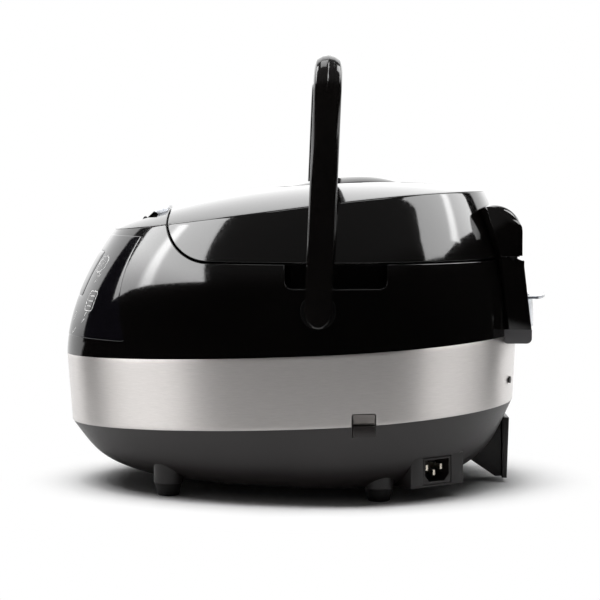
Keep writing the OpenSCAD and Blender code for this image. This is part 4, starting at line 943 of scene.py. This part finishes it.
def handle_rows():
    """Rings from one arm's lower end up and over to the middle of the grip."""
    rows = []

    def add(outer, inner, wide, chamfer, depth, crown_in, shrink=0.0):
        o, i = np.array(outer, float), np.array(inner, float)
        mid, half = (o + i) / 2, np.linalg.norm(o - i) / 2
        n = (o - i) / (2 * half)
        half -= shrink
        pts = handle_section(half, wide, chamfer, depth, crown_in)
        ring = pts + [(a, -b) for a, b in pts[::-1][1:-1]]
        rows.append([[*(mid + n * a), b] for a, b in ring])

    # The arm's rounded end, the arm with its waist, the bend and half of the grip.
    for e in np.concatenate([[0.02, 0.12, 0.3, 0.6, 1.0, 1.4], np.linspace(2.2, END_LEN, 12)]):
        z = e - END_LEN
        wide = max(0.5, ARM_HALF * math.sqrt(1 - min(1, z / END_LEN) ** 2))
        round_in = END_R - math.sqrt(END_R ** 2 - max(0.0, END_R - e) ** 2)
        add((ARM_OUT, z), (ARM_IN, z), wide, min(ARM_EDGE[0], wide * 0.4), min(2.2, e), 0.0, round_in)
    for z in np.linspace(4, 152, 38):
        waist = math.exp(-((z - WAIST_Z) / WAIST_L) ** 2)
        edge = ARM_EDGE[0] + 1.9 * waist, ARM_EDGE[1] + 2.2 * waist
        add((ARM_OUT, z), (ARM_IN, z), ARM_HALF, *edge, 0.0)
    for t in np.linspace(0, 90, 13):
        c, s = math.cos(math.radians(t)), math.sin(math.radians(t))
        out = (ARM_OUT - OUT_R + OUT_R * c, RISE - OUT_R + OUT_R * s)
        inn = (ARM_IN - IN_R + IN_R * c, RISE - GRIP - IN_R + IN_R * s)
        add(out, inn, ARM_HALF, *(lerp(a, b, s) for a, b in zip((1.6, ARM_EDGE[1], 0.0), GRIP_EDGE)))
    for x in np.linspace(120, 0, 9):
        add((x, RISE), (x, RISE - GRIP), ARM_HALF, *GRIP_EDGE)
    return rows


def build_handle():
    """The bail with the stubs that it turns on."""
    rows = np.array(handle_rows())
    full = np.concatenate([rows, rows[::-1][1:] * np.array([-1, 1, 1])])
    loops = [leaned(r[:, [0, 2, 1]]) for r in full]
    bail = loft("handle_bail", loops, caps=True, sharp=28)
    t = round_angles(48)
    for side in (1, -1):
        rows = [np.stack([np.full(48, side * x), PIVOT_Y + r * np.cos(t), PIVOT_Z + r * np.sin(t)], -1)
                for x, r in ((131, 5.4), (131.6, 6), (147.4, 6))]
        join(bail, loft("stub", rows, caps=True, sharp=40))
    return bail


piece(build_handle(), "handle", "handle_gloss", ["carry_handle"])

# ---- Steam valve cap ----

CAP_HALF_W, CAP_HALF_L, CAP_H, CAP_SIDE = 28.0, 48.0, 10.2, 2.4
CAP_GAP = 0.08
CAP_R, CAP_PITCH = 600.0, math.radians(3.6)


def oval_row(z, inset_by=0.0, share=1.0, n=120):
    """A row of the cap's oval, moved in or shrunk to a share."""
    t = round_angles(n)
    x = (CAP_HALF_W * share - inset_by) * spow(np.cos(t), 2 / OVAL_POWER)
    y = (CAP_HALF_L * share - inset_by) * spow(np.sin(t), 2 / OVAL_POWER)
    return np.stack([x, VALVE_Y + y, np.full(n, z)], -1)


def cap_top(y):
    """The cap's arched top, pitched to the rear."""
    cy = VALVE_Y + math.sin(CAP_PITCH) * CAP_R
    cz = RECESS_FLOOR + CAP_H - math.cos(CAP_PITCH) * CAP_R
    return cz + np.sqrt(CAP_R * CAP_R - (y - cy) ** 2)


def build_cap():
    """A low dome with two slots, just clear of the recess's floor."""
    low, side_z = RECESS_FLOOR + CAP_GAP, RECESS_FLOOR + CAP_SIDE
    rows = [oval_row(low + 1.5, 2), oval_row(low, 2), oval_row(low, 0.3), oval_row(low + 0.3)]
    for k in np.concatenate([[1.0], np.linspace(0.985, 0.05, 24)]):
        row = oval_row(side_z, share=k)
        row[:, 2] += (cap_top(row[:, 1]) - side_z) * (1 - k ** 2.2) ** 0.8
        rows.append(row)
    cap = loft("valve_cap_form", rows, caps=True)
    slots = [rounded(rect(-7, VALVE_Y + y - 1.5, 7, VALVE_Y + y + 1.5), 1.45) for y in (-22, 22)]
    cut(cap, [extrude("cutter", slot, 2, RECESS_FLOOR + 5.5, RECESS_FLOOR + 20) for slot in slots])
    shade(cap, 40)
    return cap


piece(build_cap(), "valve", "lid_gloss", ["valve_cap"])

# ---- Release button ----

CAP_FALL = 9.0


def build_button():
    """The cap, whose pale bluish colour is a painted reflection, over the dark finger wedge that it is
    moulded on.
    """
    dark = rounded([(-126.2, 205.0), (-114.3, 205.0), (-109.8, 209.2), (-117.2, 213.4)], 0.3, 5)
    wedge = bevel(extrude("button_wedge", dark, 0, 0.2 - BUTTON_HALF, BUTTON_HALF - 0.2), 0.4, 50)
    join(wedge, box("stem", (-4, -126.2, 194.6), (4, -123.8, 206), 0.3))
    pale = [(-117.6, 213.2), (-109.9, 208.9), (-114.2, 205.0), (-106.5, 205.6), (-106.5, BUTTON_TOP - 0.3),
            (-111.3, BUTTON_TOP - 0.4), (-115.0, BUTTON_TOP - 2.2)]
    y, z = np.array(rounded(pale, [0.3, 0.3, 0.3, 0.5, 1.2, 3, 2], 5)).T
    split_z = np.interp(y, *zip(*pale[:2]))
    rows = []
    for k in np.concatenate([np.linspace(0, 0.3, 7), np.linspace(0.4, 1, 7)]):
        fallen = split_z + (z - split_z) * math.sqrt(1 - 0.95 * (1 - k) ** 2)
        x = np.full(len(y), BUTTON_HALF - CAP_FALL * k)
        rows.append(np.stack([x, y, np.where(z > split_z, fallen, z)], 1))
    rows += [row * (-1, 1, 1) for row in rows[::-1]]
    plate = loft("button_plate", rows, caps=True)
    shade(plate, 35)
    return wedge, plate


button_wedge, button_plate = build_button()
piece(button_wedge, "button", "housing_gloss")
piece(button_plate, "button", "button_cap", ["release_button"])

# ---- Control panel ----

PANEL = [(-90.0, 117.0), (90.0, 117.0), (62.0, 195.0), (-62.0, 195.0)]
PANEL_MID = (0.0, 160.0)
DISPLAY_HALF_W, DISPLAY_LOW, DISPLAY_TOP = 30.0, 148.0, 182.0
SUNK, RAISED = -1.4, 0.25           # lifts off the housing: the pieces' hidden backs, and the panel's face
MARK_TOP = 0.37


def loop_points(corners, radius, count):
    """A closed outline with round corners and evenly spaced points, starting on its right side."""
    pts = np.array(rounded(corners, radius, 8))
    ring = np.vstack([pts, pts[:1]])
    run = np.concatenate([[0], np.cumsum(np.linalg.norm(np.diff(ring, axis=0), axis=1))])
    s = np.linspace(0, run[-1], count + 1)[:-1]
    loop = np.stack([np.interp(s, run, line) for line in ring.T], -1)
    a = np.arctan2(loop[:, 1] - PANEL_MID[1], loop[:, 0] - PANEL_MID[0])
    return np.roll(loop, -int(np.argmin(np.abs(a))), axis=0)


def on_front(loop, lift):
    """Points of the housing's front at (x, z), lifted off it."""
    return np.array([p + n * lift for p, n in (front(x, z) for x, z in loop)])


def inset(loop, d):
    """Moves a closed outline in by d."""
    t = unit(np.roll(loop, -1, 0) - np.roll(loop, 1, 0))
    n = np.stack([-t[:, 1], t[:, 0]], -1)
    return loop + n * d


def display_corners(grow=0.0):
    half_w = DISPLAY_HALF_W + grow
    return rect(-half_w, DISPLAY_LOW - grow, half_w, DISPLAY_TOP + grow)


def build_panel():
    """The smoked panel with a thin rounded rim and the display's opening."""
    outer = loop_points(PANEL, 1.5, 280)
    inner = loop_points(display_corners(0.25), 2.5, 280)
    rim = ((0.0, SUNK), (0.0, -RAISED), (0.12, 0.08), (0.4, 0.22))
    rows = [on_front(inset(outer, d), lift) for d, lift in rim]
    start = inset(outer, 0.8)
    rows += [on_front(lerp(start, inner, k), RAISED) for k in np.linspace(0, 0.97, 13)]
    rows += [on_front(inset(inner, -0.15), 0.18), on_front(inner, -0.05), on_front(inner, SUNK)]
    return loft("panel_form", rows, wrap=True, sharp=50)


def build_display():
    """The pillowed display window."""
    outer = loop_points(display_corners(), 2.3, 160)
    edge = ((0.0, SUNK), (0.0, 0.2), (0.15, 0.3), (1.2, 0.42), (2.6, 0.55), (4.2, 0.62))
    rows = [on_front(inset(outer, d), lift) for d, lift in edge]
    (d, lift), mid = edge[-1], np.array([[0.0, (DISPLAY_LOW + DISPLAY_TOP) / 2]])
    rows += [on_front(lerp(inset(outer, d), mid, k), lift) for k in np.linspace(0.04, 0.96, 12)]
    return loft("display_form", rows, caps=True, sharp=50)


piece(build_panel(), "body", "panel_smoked", ["control_panel"])
piece(build_display(), "body", "display_smoked", ["display_window"])


def printed(path, side, radius=0.6, closed=False):
    """A raised printed line on the panel, given as (x, z) on its right half."""
    pts = [(side * x, z) for x, z in spaced([*path, path[0]] if closed else path)]
    return tube("print", on_front(pts[:-1] if closed else pts, MARK_TOP - radius), radius, closed)


def build_marks():
    """Plain marks of the touch keys: a timer, a heater and short strokes."""
    ring = [(40 + 6.3 * math.cos(t), 172.8 + 6.3 * math.sin(t)) for t in round_angles(39)]
    coil = rounded(rect(44, 137.5, 55, 152.5), 2.5)
    strokes = [[(39.4, 171.0), (40.8, 175.6)], [(43.2, 163.2), (44.6, 165.4)], [(45.2, 163.2), (46.6, 165.4)],
               [(43.4, 159.2), (45.0, 161.0)]]
    strokes += [[(46.5, z), (52.5, z)] for z in (141.2, 145.0, 148.8)]
    strokes += [[(46.4, 133.6), (48.6, 136.6)], [(45.2, 128.6), (48.0, 131.4)]]
    faint = [[(26.0, 128.7), (29.4, 136.0)], [(29.6, 118.9), (36.5, 124.3)]]
    lines = []
    for side in (1, -1):
        lines += [printed(path, side, closed=True) for path in (ring, coil)]
        lines += [printed(path, side) for path in strokes]
        lines += [printed(path, side, 0.45) for path in faint]
    return joined(lines)


marks = build_marks()
paint(marks, "ink_white")
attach(marks, "body")

# ---- Stage, light and camera ----

scene = bpy.context.scene
scene.view_settings.view_transform = "Standard"
WHITE = (1, 1, 1, 1)
PAPER = (0.93, 0.93, 0.93, 1)
FLOOR_HALF = 6.0
FLOOR_FADE, MIRROR_FADE = (0.14, 0.24), (0.40, 0.62)      # where the floor fades, seen and mirrored
WALL_EDGE, WALL_SKEW = (-0.60, -0.575), 0.075
FLOOR_WALL_EDGE = (-0.49, -0.44)
WALL_LIGHT, WALL_LOW, WALL_RISE = 2.15, 1.15, (-0.02, 0.2)
ROOM_LIGHT, ROOM_HIGH, ROOM_RISE = 0.008, 0.14, (0.4, 0.7)
FILL = 0.05


class StageTree(Tree):
    """The cleared tree of a material or the world, with its light path's outputs as rays."""

    def __init__(self, owner):
        owner.use_nodes = True
        super().__init__(owner.node_tree)
        self.tree.nodes.clear()
        self.rays = self.add("LightPath").outputs

    def calc(self, operation, a, b):
        return self.add("Math", a, b, operation=operation).outputs[0]

    def mixed(self, factor, a, b):
        """Shader a where the factor is 0, and b where it is 1."""
        return self.add("MixShader", factor, a.outputs[0], b.outputs[0])


def sheet(name, points):
    """A flat face of the stage, in metres, with its cleared tree."""
    mesh = bpy.data.meshes.new(name)
    mesh.from_pydata([tuple(float(c) for c in q) for q in points], [], [tuple(range(len(points)))])
    mesh.materials.append(bpy.data.materials.new(name))
    return add_object(name, mesh), StageTree(mesh.materials[0])


def make_floor():
    """Plain paper that keeps the shadow and goes to plain white further out."""
    obj, t = sheet("floor", [(x, y, 0) for x, y in rect(-FLOOR_HALF, -FLOOR_HALF, FLOOR_HALF, FLOOR_HALF)])
    place = t.add("TexCoord").outputs["Object"]
    length = t.add("VectorMath", place, operation="LENGTH").outputs["Value"]
    seen = t.calc("MULTIPLY", t.step(length, *FLOOR_FADE), t.rays["Is Camera Ray"])
    paper = t.mixed(seen, t.add("BsdfDiffuse", Color=PAPER), t.add("Emission", Strength=1.0))
    # Reflections see the dark room where the paper ends, and the white wall behind the object.
    mirrored = t.calc("MULTIPLY", t.step(length, *MIRROR_FADE), t.rays["Is Glossy Ray"])
    across = t.calc("DIVIDE", t.add("SeparateXYZ", place).outputs["X"], length)
    behind = t.add("Emission", None, t.step(across, *FLOOR_WALL_EDGE, WALL_LOW, ROOM_LIGHT))
    t.add("OutputMaterial", t.mixed(mirrored, paper, behind).outputs[0])


def make_world():
    """A white wall behind the object in reflections, a dark room elsewhere, and even fill light."""
    scene.world = bpy.data.worlds.new("studio")
    t = StageTree(scene.world)
    x, y, z = t.add("SeparateXYZ", t.add("TexCoord").outputs["Generated"]).outputs
    across = t.calc("ADD", x, t.calc("MULTIPLY", y, WALL_SKEW))
    wall_light = t.calc("MULTIPLY", t.step(across, *WALL_EDGE, 1.0, 0.0),
                        t.step(z, *WALL_RISE, WALL_LOW, WALL_LIGHT))
    room = t.calc("ADD", wall_light, t.step(z, *ROOM_RISE, ROOM_LIGHT, ROOM_HIGH))
    mirror = t.add("Background", None, room, Color=WHITE)
    lit = t.mixed(t.rays["Is Glossy Ray"], t.add("Background", Color=WHITE, Strength=FILL), mirror)
    direct = t.calc("MAXIMUM", t.rays["Is Camera Ray"], t.rays["Is Transmission Ray"])
    seen = t.add("Background", Color=WHITE, Strength=1.0)
    t.add("OutputWorld", t.mixed(direct, lit, seen).outputs[0])


def lamp(name, place, target, size, power):
    """A soft square lamp for matt surfaces; polished ones see the softboxes instead."""
    data = bpy.data.lights.new(name, "AREA")
    data.shape, data.size, data.energy = "SQUARE", size, power
    obj = add_object(name, data)
    obj.location = place
    obj.rotation_euler = (Vector(target) - Vector(place)).to_track_quat("-Z", "Y").to_euler()
    obj.visible_glossy = False


def softbox(name, points, radiance, low=1.0):
    """A glowing sheet that only polished surfaces see, dimmer towards its lower edge."""
    obj, t = sheet(name, points)
    height = t.add("SeparateXYZ", t.add("TexCoord").outputs["Object"]).outputs["Z"]
    glow = t.add("Emission", None, t.step(height, *BOX_FADE, radiance * low, radiance))
    t.add("OutputMaterial", glow.outputs[0])
    for way in ("camera", "diffuse", "transmission", "shadow", "volume_scatter"):
        setattr(obj, "visible_" + way, False)


def stripe(start, end, half_w):
    """The corners of a straight strip between two points."""
    a, b = np.array(start), np.array(end)
    side = np.array([b[1] - a[1], a[0] - b[0]]) / np.linalg.norm(b - a) * half_w
    return [a + side, a - side, b - side, b + side]


make_floor()
make_world()
lamp("front_lamp", (0.3, -0.7, 1.9), (0, -0.05, 0.12), 0.8, 14)
lamp("rear_lamp", (0.1, 0.6, 1.9), (0, 0.08, 0.12), 0.8, 9)
lamp("top_lamp", (0.15, 0.0, 2.0), (0, 0, 0.1), 1.0, 26)

# Outlines of the two side softboxes as (x, z), read from their reflections in the housing.
BOX_Y, TOP_Z, BOX_FADE = 1.5, 2.0, (0.65, 1.25)
front_shape = [(1.055, 1.12), (0.264, 0.821), (-0.004, 0.70), (-0.218, 0.54), (-0.429, 0.935),
               (-0.776, 1.408), (-0.95, 1.75), (-0.9, 2.7), (0.05, 2.64), (0.709, 1.544)]
rear_shape = [(0.60, 0.99), (0.235, 0.834), (-0.151, 0.868), (-0.731, 0.776), (-0.848, 0.908),
              (-0.929, 1.082), (-1.1, 1.7), (-0.9, 2.6), (0.24, 2.6), (0.235, 1.927), (0.415, 1.59),
              (0.545, 1.292)]
softbox("front_box", [(x, -BOX_Y, z) for x, z in front_shape], 9.5, 0.5)
softbox("rear_box", [(x, BOX_Y, z) for x, z in rear_shape], 7.0)
# Nested strips in front of them, brighter towards the middle.
for n, (wide, shine) in enumerate(((1.5, 0.15), (1.2, 0.4), (0.9, 0.75), (0.6, 1.0))):
    near = BOX_Y - 0.01 * (n + 1)
    strip = stripe((0.19, 0.79), (-0.29, 1.78), 0.085 * wide)
    softbox(f"front_strip_{n}", [(x, -near, z) for x, z in strip], 9.0 + 9.0 * shine, 0.6)
    strip = stripe((-0.10, 0.87), (-0.60, 1.68), 0.075 * wide)
    softbox(f"rear_strip_{n}", [(x, near, z) for x, z in strip], 7.0 + 7.0 * shine)
softbox("top_box", [(x, y, TOP_Z) for x, y in rect(-0.9, -0.7, 0.15, 0.7)], 4.0)

PICTURE_PX, FOCAL_PX, SENSOR = 600, 2032, 36.0
CAMERA_AT, CAMERA_DOWN = (1.6, -0.0045, 0.245), 3.66
cam_data = bpy.data.cameras.new("camera")
cam = add_object("camera", cam_data)
scene.camera = cam
cam_data.sensor_width = SENSOR
cam_data.lens = SENSOR * FOCAL_PX / PICTURE_PX
cam_data.clip_end = 50
cam.location = CAMERA_AT
cam.rotation_euler = (math.radians(90 - CAMERA_DOWN), 0, math.radians(90))

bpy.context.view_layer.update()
